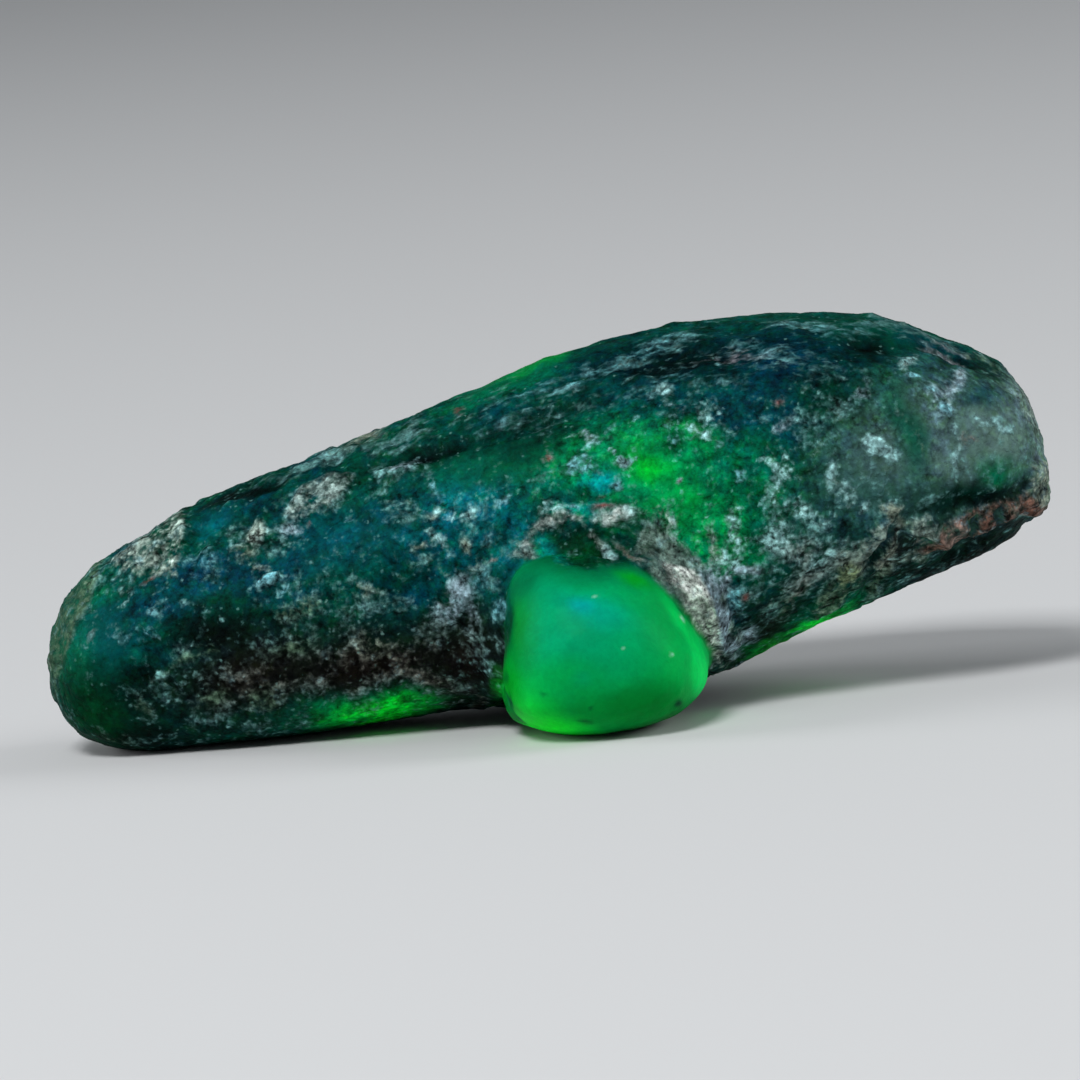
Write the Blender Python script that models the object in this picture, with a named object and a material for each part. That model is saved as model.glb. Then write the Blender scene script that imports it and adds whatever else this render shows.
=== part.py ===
"""A water-worn raw emerald: one long crystal with a shorter one grown through it, as one solid.

Run with: blender --background --python part.py

The stone is shaped in its growth frame, in millimetres: X along the long crystal, Y from its front to
its back, Z up. An empty then turns it into the pose in which it lies on a table. It rests on the
worn foot of the long crystal's left end and on the lower face of the short crystal.
"""

import math

import bmesh
import bpy
import numpy as np
from mathutils import Matrix, Vector

MM = 0.001

# The long crystal, slice by slice from its left tip to its right end. Each slice runs from a point on
# the upper outline to one on the lower outline, reaches some depth to the front and to the back, and
# turns its six-sided section by some degrees (0 puts an edge in front, 30 a face).
#                 upper x, z     lower x, z    front  back  turn
LONG_CRYSTAL = (
    (-12.46, 2.50, -12.48, 1.80, 0.45, 0.45, 0),
    (-12.10, 3.75, -12.20, 0.98, 1.45, 1.40, 0),
    (-11.32, 4.53, -11.60, 0.27, 2.25, 2.15, 0),
    (-10.15, 5.25, -10.50, -0.08, 2.80, 2.70, 0),
    (-9.50, 5.60, -9.60, -0.08, 3.00, 2.95, 0),
    (-8.90, 6.10, -8.70, 0.04, 3.15, 3.10, 0),
    (-7.40, 6.72, -6.80, 0.26, 3.45, 3.45, 0),
    (-5.30, 7.48, -4.40, 0.63, 3.70, 3.75, 4),
    (-3.00, 8.48, -1.80, 1.02, 3.85, 4.00, 10),
    (-0.20, 9.74, 1.40, 1.12, 4.00, 4.15, 18),
    (2.80, 10.58, 4.50, 1.84, 4.05, 4.20, 26),
    (5.60, 10.96, 6.90, 3.10, 3.95, 4.05, 30),
    (8.00, 10.92, 8.90, 3.93, 3.60, 3.70, 30),
    (9.95, 10.31, 10.45, 4.60, 3.10, 3.15, 30),
    (11.45, 9.70, 11.55, 5.16, 2.45, 2.40, 30),
    (12.10, 8.68, 12.28, 5.80, 1.70, 1.65, 30),
    (12.46, 7.75, 12.48, 6.75, 0.80, 0.75, 30),
)
SECTION_SIDES = 6
SECTION_CRISPNESS = 0.6  # 0 is a round section, 1 a sharp hexagon
SLICES_PER_STEP = 4
POINTS_AROUND = 42

# The short crystal's outline, seen from its front end, clockwise from the top left corner.
SHORT_CRYSTAL_OUTLINE = (
    (-0.75, 4.30),
    (0.35, 4.72),
    (1.75, 4.58),
    (2.95, 3.72),
    (3.88, 2.45),
    (4.00, 1.40),
    (3.15, 0.60),
    (1.60, 0.25),
    (0.00, 0.28),
    (-0.98, 0.62),
    (-1.06, 2.00),
    (-0.98, 3.40),
)
SHORT_FRONT = -6.75  # the tip of its domed front end
SHORT_BACK = 5.30  # the tip of its worn back end
SHORT_FRONT_DOME = 2.60  # how long the domed stretch is
SHORT_BACK_DOME = 2.20
SHORT_DOME_POWER = 2.3  # 2 is an ellipse, more is blunter
SHORT_RISE = math.tan(math.radians(7.0))  # it climbs towards its back
SHORT_RISE_FROM = -5.6  # where its outline is the one above
SHORT_SLICES = 26

# The worn skin: every edge is rounded over, and the surface is gently uneven.
SKIN_CELL = 0.44
SKIN_SMOOTHING = 3
UNEVEN_SIZE = 3.2
UNEVEN_DEPTH = 0.18

# The pose in which the stone lies still, and how far its two feet are worn flat.
REST_PITCH = math.radians(7.0)
REST_ROLL = math.radians(5.0)
REST_DROP = 0.86

EMERALD_GREEN = (0.010, 0.115, 0.075, 1.0)
EMERALD_ROUGHNESS = 0.35


def clear_scene():
    for obj in list(bpy.data.objects):
        bpy.data.objects.remove(obj)


def smooth_rows(rows, steps, closed=False):
    """Rows of numbers with others between them, on a Catmull-Rom curve through each column."""
    rows = np.array(rows, float)
    count = len(rows)
    spans = count if closed else count - 1

    def row(i):
        return rows[i % count] if closed else rows[min(max(i, 0), count - 1)]

    found = []
    for i in range(spans):
        before, start, end, after = (row(i + k) for k in (-1, 0, 1, 2))
        for step in range(steps):
            t = step / steps
            found.append(
                0.5
                * (
                    2 * start
                    + (end - before) * t
                    + (2 * before - 5 * start + 4 * end - after) * t**2
                    + (3 * start - before - 3 * end + after) * t**3
                )
            )
    return found if closed else [*found, rows[-1]]


def section(turn):
    """A worn hexagon as (depth, height) pairs from -1 to 1. Depth -1 is its front."""
    side = math.tau / SECTION_SIDES
    points = []
    for i in range(POINTS_AROUND):
        angle = math.tau * i / POINTS_AROUND
        off_face = (angle - turn) % side - side / 2
        sharp = math.cos(side / 2) / math.cos(off_face)
        radius = 1 + SECTION_CRISPNESS * (sharp - 1)
        points.append((-radius * math.cos(angle), radius * math.sin(angle)))
    points = np.array(points)
    low, high = points.min(axis=0), points.max(axis=0)
    return 2 * (points - low) / (high - low) - 1


def long_crystal_rings():
    rings = []
    for x_up, z_up, x_low, z_low, front, back, turn in smooth_rows(
        LONG_CRYSTAL, SLICES_PER_STEP
    ):
        upper = Vector((x_up, 0, z_up))
        lower = Vector((x_low, 0, z_low))
        middle = (upper + lower) / 2
        half_height = (upper - lower) / 2
        rings.append(
            [
                middle
                + half_height * height
                + Vector((0, depth * (front if depth < 0 else back), 0))
                for depth, height in section(math.radians(turn))
            ]
        )
    return rings


def dome(reach, length):
    """How wide the short crystal is, from 0 to 1, at this distance from the tip of a domed end."""
    if reach >= length:
        return 1.0
    closeness = 1 - reach / length
    return (1 - closeness**SHORT_DOME_POWER) ** (1 / SHORT_DOME_POWER)


def short_crystal_rings():
    outline = smooth_rows(SHORT_CRYSTAL_OUTLINE, 4, closed=True)
    centre = np.mean(outline, axis=0)
    rings = []
    for i in range(1, SHORT_SLICES):
        # Slices crowd towards both tips, where the domes curve most.
        share = (1 - math.cos(math.pi * i / SHORT_SLICES)) / 2
        y = SHORT_FRONT + (SHORT_BACK - SHORT_FRONT) * share
        width = min(
            dome(y - SHORT_FRONT, SHORT_FRONT_DOME),
            dome(SHORT_BACK - y, SHORT_BACK_DOME),
        )
        rise = (y - SHORT_RISE_FROM) * SHORT_RISE
        rings.append(
            [
                Vector((x, y, z + rise))
                for x, z in (centre + (p - centre) * width for p in outline)
            ]
        )
    return rings


def add_ring(bm, points):
    """Adds a closed loop of edges through these points and returns its edges."""
    verts = [bm.verts.new(p * MM) for p in points]
    return [bm.edges.new((a, b)) for a, b in zip(verts, verts[1:] + verts[:1])]


def lofted(name, rings):
    """A closed object through these rings, with a face over each end one."""
    bm = bmesh.new()
    loops = [add_ring(bm, ring) for ring in rings]
    for one, other in zip(loops, loops[1:]):
        bmesh.ops.bridge_loops(bm, edges=one + other)
    bmesh.ops.holes_fill(bm, edges=loops[0] + loops[-1])
    bmesh.ops.recalc_face_normals(bm, faces=bm.faces)
    mesh = bpy.data.meshes.new(name)
    bm.to_mesh(mesh)
    bm.free()
    obj = bpy.data.objects.new(name, mesh)
    bpy.context.scene.collection.objects.link(obj)
    return obj


def as_helper(obj):
    obj.hide_render = True
    obj.display_type = "WIRE"
    return obj


def table_block():
    """A block with its top at the table's height, which cuts the feet flat."""
    size = 60 * MM
    bm = bmesh.new()
    bmesh.ops.create_cube(bm, size=size, matrix=Matrix.Translation((0, 0, -size / 2)))
    mesh = bpy.data.meshes.new("table_block")
    bm.to_mesh(mesh)
    bm.free()
    obj = bpy.data.objects.new("table_block", mesh)
    bpy.context.scene.collection.objects.link(obj)
    return as_helper(obj)


def add_boolean(obj, operation, other):
    boolean = obj.modifiers.new(f"{operation.lower()} {other.name}", "BOOLEAN")
    boolean.operation = operation
    boolean.solver = "EXACT"
    boolean.object = other


def wear_skin(obj):
    """Rounds the edges over by remeshing and smoothing, then makes the surface gently uneven."""
    remesh = obj.modifiers.new("worn skin", "REMESH")
    remesh.mode = "VOXEL"
    remesh.voxel_size = SKIN_CELL * MM
    smooth = obj.modifiers.new("rounded edges", "SMOOTH")
    smooth.factor = 0.5
    smooth.iterations = SKIN_SMOOTHING
    clouds = bpy.data.textures.new("unevenness", "CLOUDS")
    clouds.noise_scale = UNEVEN_SIZE * MM
    clouds.noise_depth = 1
    displace = obj.modifiers.new("uneven skin", "DISPLACE")
    displace.texture = clouds
    displace.texture_coords = "LOCAL"
    displace.strength = UNEVEN_DEPTH * MM


def emerald_material():
    material = bpy.data.materials.new("emerald")
    material.use_nodes = True
    shader = material.node_tree.nodes["Principled BSDF"]
    shader.inputs["Base Color"].default_value = EMERALD_GREEN
    shader.inputs["Roughness"].default_value = EMERALD_ROUGHNESS
    shader.inputs["Metallic"].default_value = 0.0
    return material


def evaluated_box(obj):
    """The lowest and highest corner of the object's evaluated mesh, in world space."""
    bpy.context.view_layer.update()
    evaluated = obj.evaluated_get(bpy.context.evaluated_depsgraph_get())
    points = np.array([evaluated.matrix_world @ v.co for v in evaluated.data.vertices])
    return points.min(axis=0), points.max(axis=0)


def main():
    clear_scene()
    pose = bpy.data.objects.new("resting_pose", None)
    bpy.context.scene.collection.objects.link(pose)

    emerald = lofted("emerald", long_crystal_rings())
    short_crystal = as_helper(lofted("short_crystal", short_crystal_rings()))
    emerald.data.materials.append(emerald_material())
    for piece in (emerald, short_crystal):
        piece.parent = pose

    add_boolean(emerald, "UNION", short_crystal)
    wear_skin(emerald)
    add_boolean(emerald, "DIFFERENCE", table_block())

    pose.rotation_euler = (
        Matrix.Rotation(-REST_PITCH, 3, "X") @ Matrix.Rotation(REST_ROLL, 3, "Y")
    ).to_euler()
    pose.location.z = -REST_DROP * MM
    low, high = evaluated_box(emerald)
    middle = (low + high) / 2
    pose.location.x -= middle[0]
    pose.location.y -= middle[1]


main()
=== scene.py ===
# %% [markdown]
# # A raw emerald
# The stone is two emerald crystals that grew through each other and were then rolled smooth in a
# river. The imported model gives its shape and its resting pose. This lesson gives it its fine skin,
# its mica crust and its colour.

import math

import bmesh
import bpy
import numpy as np
from mathutils import Matrix, Vector, noise


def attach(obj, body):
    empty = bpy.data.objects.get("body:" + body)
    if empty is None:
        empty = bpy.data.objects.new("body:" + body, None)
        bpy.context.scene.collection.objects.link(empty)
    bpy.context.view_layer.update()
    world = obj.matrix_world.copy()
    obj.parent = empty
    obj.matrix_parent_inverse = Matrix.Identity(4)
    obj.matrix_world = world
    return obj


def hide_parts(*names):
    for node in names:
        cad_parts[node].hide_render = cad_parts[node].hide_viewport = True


MM = 0.001

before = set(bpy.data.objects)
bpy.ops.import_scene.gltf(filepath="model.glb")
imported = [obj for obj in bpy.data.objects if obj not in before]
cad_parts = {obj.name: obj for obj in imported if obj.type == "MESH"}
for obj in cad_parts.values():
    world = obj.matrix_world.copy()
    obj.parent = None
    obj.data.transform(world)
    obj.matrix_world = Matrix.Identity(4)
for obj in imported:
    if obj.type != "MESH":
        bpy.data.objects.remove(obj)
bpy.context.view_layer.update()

# %% [markdown]
# ## The growth frame
# The stone was shaped with its long crystal level along X and then tipped into the pose in which it
# lies still. Places on it are easiest to give in that first frame, in millimetres: x along the long
# crystal, y from front to back, z up. So the tip is undone here once, for every point.

# %% The growth frame
REST_PITCH = math.radians(7.0)
REST_ROLL = math.radians(5.0)
GROWTH_ORIGIN = Vector((-0.4287, 0.3338, -0.86)) * MM
GROWTH_TURN = Matrix.Rotation(-REST_PITCH, 3, "X") @ Matrix.Rotation(REST_ROLL, 3, "Y")


def to_row(point_mm):
    """A point of the growth frame, in millimetres, as a point of the row frame, in metres."""
    return GROWTH_TURN @ (Vector(point_mm) * MM) + GROWTH_ORIGIN


def to_growth(points):
    """An array of points of the row frame, in metres, in the growth frame's millimetres."""
    return (points - np.array(GROWTH_ORIGIN)) @ np.array(GROWTH_TURN) / MM


print("growth frame's origin:", [round(c / MM, 2) for c in GROWTH_ORIGIN], "mm")

# %% [markdown]
# ## The camera
# It stands in front of the stone at the distance of a macro lens and looks level along the growth
# frame. In the row frame that is a view from 7 degrees above the table, with the head a little to
# one side.

# %% The camera
VIEW_AIM = (-0.1375, 0.0, 5.225)
VIEW_DISTANCE = 200.0
VIEW_WIDTH = 27.0
SENSOR_WIDTH = 36.0

camera_data = bpy.data.cameras.new("camera")
camera_data.sensor_width = SENSOR_WIDTH
camera_data.lens = SENSOR_WIDTH * VIEW_DISTANCE / VIEW_WIDTH
camera_data.clip_start = 10 * MM
camera = bpy.data.objects.new("camera", camera_data)
bpy.context.scene.collection.objects.link(camera)
bpy.context.scene.camera = camera
# A camera looks down its own -Z with +Y up, so a quarter turn makes it look along +Y.
camera.matrix_world = Matrix.Translation(
    to_row(Vector(VIEW_AIM) - Vector((0, VIEW_DISTANCE, 0)))
) @ (GROWTH_TURN @ Matrix.Rotation(math.radians(90), 3, "X")).to_4x4()
print("lens:", round(camera_data.lens), "mm")

# %% [markdown]
# ## Floor and lights
# A pale matt floor that reaches past the view, a broad lamp above the front, and a weaker one at
# each side. Broad lamps give the soft highlights that a frosted stone shows.

# %% Floor and lights
FLOOR_SIZE = 4.0
FLOOR_COLOUR = (0.60, 0.61, 0.62, 1)
FLOOR_ROUGHNESS = 0.9
WORLD_COLOUR = (0.78, 0.82, 0.86, 1)
WORLD_STRENGTH = 0.22
# name: where it stands (m), how wide it is (m), its power (W)
LAMPS = {
    "key_lamp": ((-0.12, -0.28, 0.36), 0.15, 1.7),
    "left_lamp": ((-0.40, 0.05, 0.16), 0.20, 0.7),
    "right_lamp": ((0.40, 0.02, 0.20), 0.20, 0.8),
}

scene = bpy.context.scene
scene.view_settings.view_transform = "Standard"

world = bpy.data.worlds.new("studio")
world.use_nodes = True
background = world.node_tree.nodes["Background"]
background.inputs["Color"].default_value = WORLD_COLOUR
background.inputs["Strength"].default_value = WORLD_STRENGTH
scene.world = world

floor_bm = bmesh.new()
bmesh.ops.create_grid(floor_bm, x_segments=1, y_segments=1, size=FLOOR_SIZE / 2)
floor_mesh = bpy.data.meshes.new("floor")
floor_bm.to_mesh(floor_mesh)
floor_bm.free()
floor = bpy.data.objects.new("floor", floor_mesh)
scene.collection.objects.link(floor)


def add_lamp(name, place, width, power):
    """A square lamp that faces the stone."""
    data = bpy.data.lights.new(name, "AREA")
    data.size = width
    data.energy = power
    lamp = bpy.data.objects.new(name, data)
    lamp.location = place
    lamp.rotation_euler = (-Vector(place)).to_track_quat("-Z", "Y").to_euler()
    scene.collection.objects.link(lamp)


for lamp_name, lamp in LAMPS.items():
    add_lamp(lamp_name, *lamp)
print("lamps:", ", ".join(LAMPS))

# %% [markdown]
# ## Writing materials as sums
# A mineral crust needs dozens of masks multiplied and added. Written as nodes one by one, that is
# unreadable, so one small class wraps a node's output and turns Python sums into Math nodes.

# %% A socket that can be reckoned with


class Wire:
    """A node's output. Sums and products with it add Math nodes to its finish."""

    def __init__(self, finish, socket):
        self.finish = finish
        self.socket = socket

    def math(self, operation, *values):
        return self.finish.node("ShaderNodeMath", {"operation": operation}, values)

    def __add__(self, other):
        return self.math("ADD", self, other)

    def __sub__(self, other):
        return self.math("SUBTRACT", self, other)

    def __rsub__(self, other):
        return self.math("SUBTRACT", other, self)

    def __mul__(self, other):
        return self.math("MULTIPLY", self, other)

    def over(self, low, high):
        """0 where it is low or less, 1 where it is high or more, and a smooth step between."""
        return self.finish.node(
            "ShaderNodeMapRange",
            {"interpolation_type": "SMOOTHSTEP"},
            {"Value": self, "From Min": low, "From Max": high},
        )

    def at_least(self, least):
        return self.math("MAXIMUM", self, least)

    __radd__ = __add__
    __rmul__ = __mul__


class Finish:
    """A material, with one method that adds any node."""

    def __init__(self, name):
        self.material = bpy.data.materials.new(name)
        self.material.use_nodes = True
        self.tree = self.material.node_tree
        self.tree.nodes.clear()

    def node(self, kind, settings, sockets, output=0):
        """Adds a node, sets it up, fills its sockets with values or wires, returns an output."""
        node = self.tree.nodes.new(kind)
        for name, setting in settings.items():
            setattr(node, name, setting)
        pairs = sockets.items() if isinstance(sockets, dict) else enumerate(sockets)
        for name, value in pairs:
            if isinstance(value, Wire):
                self.tree.links.new(value.socket, node.inputs[name])
            else:
                node.inputs[name].default_value = value
        return Wire(self, node.outputs[output]) if node.outputs else None

    def painted(self, name, output="Fac"):
        """What the skin carries under this name: a number, or a Color or Vector."""
        return self.node("ShaderNodeAttribute", {"attribute_name": name}, {}, output)

    def blend(self, factor, first, second, how="MIX"):
        """The first colour where the factor is 0. The second, or their product, where it is 1."""
        settings = {"data_type": "RGBA", "blend_type": how, "clamp_factor": True}
        return self.node("ShaderNodeMix", settings, {0: factor, 6: first, 7: second}, 2)

    def noise(self, where, size, detail=2.0, output=0, roughness=0.55):
        """Noise with lumps this many millimetres wide."""
        sockets = {"Vector": where, "Scale": 1 / (size * MM), "Detail": detail}
        sockets["Roughness"] = roughness
        return self.node("ShaderNodeTexNoise", {}, sockets, output)

    def cells(self, where, size):
        """Random cells this wide: how far a place is from its cell's middle, and its cell's luck."""
        sockets = {"Vector": where, "Scale": 1 / (size * MM), "Randomness": 1.0}
        from_middle = self.node("ShaderNodeTexVoronoi", {}, sockets, "Distance")
        luck = self.part(self.node("ShaderNodeTexVoronoi", {}, sockets, "Color"), 0)
        return from_middle, luck

    def part(self, colour, index):
        """One of the three numbers in a colour."""
        return self.node("ShaderNodeSeparateColor", {}, {"Color": colour}, index)

    def vector(self, operation, sockets):
        return self.node("ShaderNodeVectorMath", {"operation": operation}, sockets)

    def move(self, where, by, amount):
        """Shifts a place by a noise colour, centred, times this many millimetres."""
        centred = self.vector("SUBTRACT", {0: by, 1: (0.5, 0.5, 0.5)})
        scaled = self.vector("SCALE", {0: centred, "Scale": amount * MM})
        return self.vector("ADD", {0: where, 1: scaled})

    def lit(self, colour, strength):
        """A colour made lighter or darker: a number that changes over the surface times it."""
        return self.vector("SCALE", {0: colour, "Scale": strength})

    def show(self, shader):
        """Puts a shader on the material's surface and returns the material."""
        self.node("ShaderNodeOutputMaterial", {}, {"Surface": shader})
        return self.material


# %% [markdown]
# The floor is the simplest finish: one matt shader whose numbers are the same all over.

# %% The floor's finish
floor_finish = Finish("floor")
floor_shader = floor_finish.node(
    "ShaderNodeBsdfPrincipled", {}, {"Base Color": FLOOR_COLOUR, "Roughness": FLOOR_ROUGHNESS}
)
floor.data.materials.append(floor_finish.show(floor_shader))
print("floor's finish:", len(floor_finish.tree.nodes), "nodes")

# %% [markdown]
# ## A finer mesh
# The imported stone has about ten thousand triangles, some 0.4 mm across. Crust and chips are finer
# than that, so a copy is cut twice, four triangles for each one, and smoothed after each cut. A
# subdivision modifier could do the same, but here every point is to be moved and coloured
# afterwards. The short crystal's bare end is worn smoothest, so it is smoothed more and more
# towards its tip.

# %% A finer mesh
MERGE_DISTANCE = 0.002 * MM
SMOOTHINGS_PER_CUT = (4, 3)
END_STARTS_AT = -4.1  # the depth at which the short crystal's bare end begins
END_SMOOTHINGS_BEFORE = 8
END_DEPTHS = (-3.5, -3.7, -3.9, -4.1)
END_SMOOTHINGS = 14

skin_bm = bmesh.new()
skin_bm.from_mesh(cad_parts["emerald"].data)
bmesh.ops.remove_doubles(skin_bm, verts=skin_bm.verts, dist=MERGE_DISTANCE)


def smooth(verts, times):
    """Moves each point halfway towards its neighbours' middle, this many times."""
    for _ in range(times):
        bmesh.ops.smooth_vert(
            skin_bm, verts=verts, factor=0.5, use_axis_x=True, use_axis_y=True, use_axis_z=True
        )


def in_front_of(depth):
    """The mesh's points that are nearer to the viewer than this depth."""
    depths = to_growth(np.array([v.co for v in skin_bm.verts]))[:, 1]
    return [v for v, at in zip(skin_bm.verts, depths) if at < depth]


smooth(in_front_of(END_STARTS_AT), END_SMOOTHINGS_BEFORE)
for smoothings in SMOOTHINGS_PER_CUT:
    bmesh.ops.subdivide_edges(skin_bm, edges=skin_bm.edges, cuts=1, use_grid_fill=True)
    smooth(skin_bm.verts, smoothings)
for end_depth in END_DEPTHS:
    smooth(in_front_of(end_depth), END_SMOOTHINGS)
skin_bm.normal_update()
skin_row = np.array([v.co for v in skin_bm.verts])
skin_normals = np.array([v.normal for v in skin_bm.verts])
skin_at = to_growth(skin_row)
print("fine mesh:", len(skin_bm.verts), "points,", len(skin_bm.faces), "faces")

# %% [markdown]
# ## Helpers for masks
# A mask is one number for each point of the mesh: how much of something is there. Masks are worked
# out with numpy, because they shape the surface and colour it too.

# %% A smooth step and a cloud


def step(values, low, high):
    """0 where values are low, 1 where they are high, and a smooth step between."""
    share = np.clip((values - low) / (high - low), 0, 1)
    return share * share * (3 - 2 * share)


def cloud(points, size, seed):
    """Smooth noise from about -1 to 1 at each point, with lumps this many millimetres wide."""
    shift = Vector((seed * 17.3, seed * 5.9, seed * 11.1))
    return np.array([noise.noise(Vector(p) / size + shift) for p in points])


# %% [markdown]
# ## Painting from the front
# What is painted is placed as it is seen from the front. It runs through the stone, but drifts on
# its way, so that the back has patches of its own. Every patch is a tilted oval whose edge is
# pushed about by noise, so that none looks like an ellipse.

# %% Painting from the front
BACK_FROM, BACK_TO = -1.2, 2.0  # the depths between which the drift grows
WIDE_DRIFT, NARROW_DRIFT = 4.5, 1.9
RAGGED_EDGE = ((1.1, 0.22), (0.45, 0.14), (0.2, 0.07))  # how wide its lumps are, how far they push

x, y, z = skin_at.T
# Where a point is seen, in the plane through the long crystal's middle.
nearness = 1 / (1 + y / VIEW_DISTANCE)
seen_x = VIEW_AIM[0] + (x - VIEW_AIM[0]) * nearness
seen_z = VIEW_AIM[2] + (z - VIEW_AIM[2]) * nearness
drift = step(y, BACK_FROM, BACK_TO)


def drifting(wide, narrow, seed):
    """How far the painting drifts at each point: so far in wide lumps, so far in narrow ones."""
    wander = wide * cloud(skin_at, WIDE_DRIFT, seed)
    return wander + narrow * cloud(skin_at, NARROW_DRIFT, seed + 1)


seen_x += drift * drifting(2.6, 1.6, 31)
seen_z += drift * drifting(1.6, 1.0, 33)


def ragged_outline(seed):
    """How far a painted patch's edge is moved at each point, in millimetres."""
    return sum(push * cloud(skin_at, size, seed + size) for size, push in RAGGED_EDGE)


ragged_x = seen_x + ragged_outline(1)
ragged_z = seen_z + ragged_outline(3)


def oval(centre_x, centre_z, half_long, half_wide, tilt, core=0.45, ragged=1.0):
    """1 inside a tilted oval on the stone as seen from the front, fading to 0 round its edge."""
    turn = math.radians(tilt)
    across_x = seen_x + ragged * (ragged_x - seen_x) - centre_x
    across_z = seen_z + ragged * (ragged_z - seen_z) - centre_z
    along = (across_x * math.cos(turn) + across_z * math.sin(turn)) / half_long
    across = (across_z * math.cos(turn) - across_x * math.sin(turn)) / half_wide
    return 1 - step(np.hypot(along, across), core, 1.3)


def painted(ground, patches, ragged=1.0):
    """A mask, painted patch over patch: each takes it towards its own amount."""
    value = np.full(len(x), float(ground))
    for *shape, amount in patches:
        value += (amount - value) * oval(*shape, ragged=ragged)
    return value


def coloured(ground, patches, tones, ragged=1.0):
    """A colour at each point, painted patch over patch in the tones named."""
    colour = np.array(ground, float)
    for *shape, strength, tone in patches:
        cover = oval(*shape, core=0.1, ragged=ragged)[:, None] * strength
        colour += (np.array(tones[tone]) - colour) * cover
    return colour


print("farthest drift:", round(float(np.abs(ragged_x - x).max()), 1), "mm")

# %% [markdown]
# ## The short crystal's edge
# The short crystal is a worn prism that runs from front to back. How far a point lies outside its
# outline says where its clean green skin ends and where the mica collar around it begins.

# %% The short crystal's outline
SHORT_CRYSTAL_OUTLINE = (
    (-0.75, 4.30),
    (0.35, 4.72),
    (1.75, 4.58),
    (2.95, 3.72),
    (3.88, 2.45),
    (4.00, 1.40),
    (3.15, 0.60),
    (1.60, 0.25),
    (0.00, 0.28),
    (-0.98, 0.62),
    (-1.06, 2.00),
    (-0.98, 3.40),
)
SHORT_RISE = math.tan(math.radians(7.0))
SHORT_RISE_FROM = -5.6


def rounded(outline, steps=6):
    """A closed outline with more points, on a Catmull-Rom curve through its own."""
    points = np.array(outline)
    before, after, beyond = (np.roll(points, shift, axis=0) for shift in (1, -1, -2))
    found = []
    for t in np.arange(steps) / steps:
        found.append(
            0.5
            * (
                2 * points
                + (after - before) * t
                + (2 * before - 5 * points + 4 * after - beyond) * t**2
                + (3 * points - before - 3 * after + beyond) * t**3
            )
        )
    return list(np.stack(found, axis=1).reshape(-1, 2))


def distance_outside(points, outline):
    """How far each 2-D point lies outside a closed outline. It is below 0 inside."""
    nearest = np.full(len(points), np.inf)
    inside = np.zeros(len(points), bool)
    for start, end in zip(outline, [*outline[1:], outline[0]]):
        start = np.array(start)
        edge = np.array(end) - start
        offset = points - start
        share = np.clip(offset @ edge / (edge @ edge), 0, 1)
        nearest = np.minimum(nearest, np.linalg.norm(offset - share[:, None] * edge, axis=1))
        crosses = (offset[:, 1] < 0) != (offset[:, 1] < edge[1])
        meets = offset[:, 1] / (edge[1] or 1e-9) * edge[0]
        inside ^= crosses & (offset[:, 0] < meets)
    return np.where(inside, -nearest, nearest)


prism_z = z - (y - SHORT_RISE_FROM) * SHORT_RISE
outside = distance_outside(np.stack([x, prism_z], 1), rounded(SHORT_CRYSTAL_OUTLINE))
outside += 0.05 * cloud(skin_at, 0.5, 7)
print("farthest inside the short crystal:", round(-float(outside.min()), 2), "mm")

# %% The bare end
EDGE_FADE = (0.02, 0.14)  # how far outside the outline the bare skin fades out
BARE_BACK = (-2.2, -1.4)  # the depths between which it fades out towards the back
BARE_TIP = (4.5, 4.8)  # how far in front everything is bare

bare = (1 - step(outside, *EDGE_FADE)) * (1 - step(y, *BARE_BACK))
bare = np.maximum(bare, step(-y, *BARE_TIP))
# The collar laps over its upper edge, and the crust over its left one.
bare *= 1 - oval(0.90, 5.05, 2.40, 0.36, -9, core=0.6)
bare *= 1 - 0.5 * oval(-1.04, 3.30, 1.60, 0.16, 88, ragged=0.3)
bare *= 1 - 0.6 * oval(-0.90, 1.15, 0.90, 0.13, -65)
print("bare green end covers", round(100 * float(bare.mean())), "% of the points")

# %% [markdown]
# ## Where things are on the stone
# Each list paints one thing with tilted ovals: centre x and z, half length, half width, tilt in
# degrees, strength and tone. They are seen from the front, in millimetres. The crystal's colour
# is painted first, one stain over another, as on a glazed pot. Some stains are painted light and
# shade: a painted glow where light comes through the crystal, and painted shade in hollows, under
# edges and towards the bottom.

# %% The crystal's stains
TONES = {
    "ink_and_shadow": (0.0, 0.004, 0.003),
    "deep_and_shade": (0.0, 0.021, 0.013),
    "bottle_shade": (0.0, 0.03, 0.008),
    "midnight": (0.0, 0.016, 0.021),
    "dark_green": (0.0, 0.042, 0.026),
    "green": (0.0, 0.105, 0.045),
    "fern": (0.0, 0.15, 0.05),
    "lit_green": (0.0, 0.2, 0.035),
    "lit_pine": (0.0, 0.168, 0.105),
    "pine": (0.006, 0.075, 0.046),
    "painted_shine": (0.0, 0.245, 0.066),
    "painted_glow": (0.0, 0.4, 0.03),
    "dark_teal": (0.0, 0.036, 0.042),
    "teal": (0.0, 0.06, 0.068),
    "bright_teal": (0.0, 0.092, 0.096),
    "lit_teal": (0.0, 0.13, 0.145),
    "turquoise_highlight": (0.0, 0.32, 0.245),
    "dark_blue": (0.0, 0.02, 0.034),
    "blue": (0.0, 0.042, 0.06),
    "film": (0.064, 0.13, 0.115),
    "dim_film": (0.02, 0.075, 0.062),
    "pale_film": (0.105, 0.185, 0.158),
    "painted_blaze": (0.0, 0.7, 0.03),
    "mica": (0.005, 0.004, 0.003),
}
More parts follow.
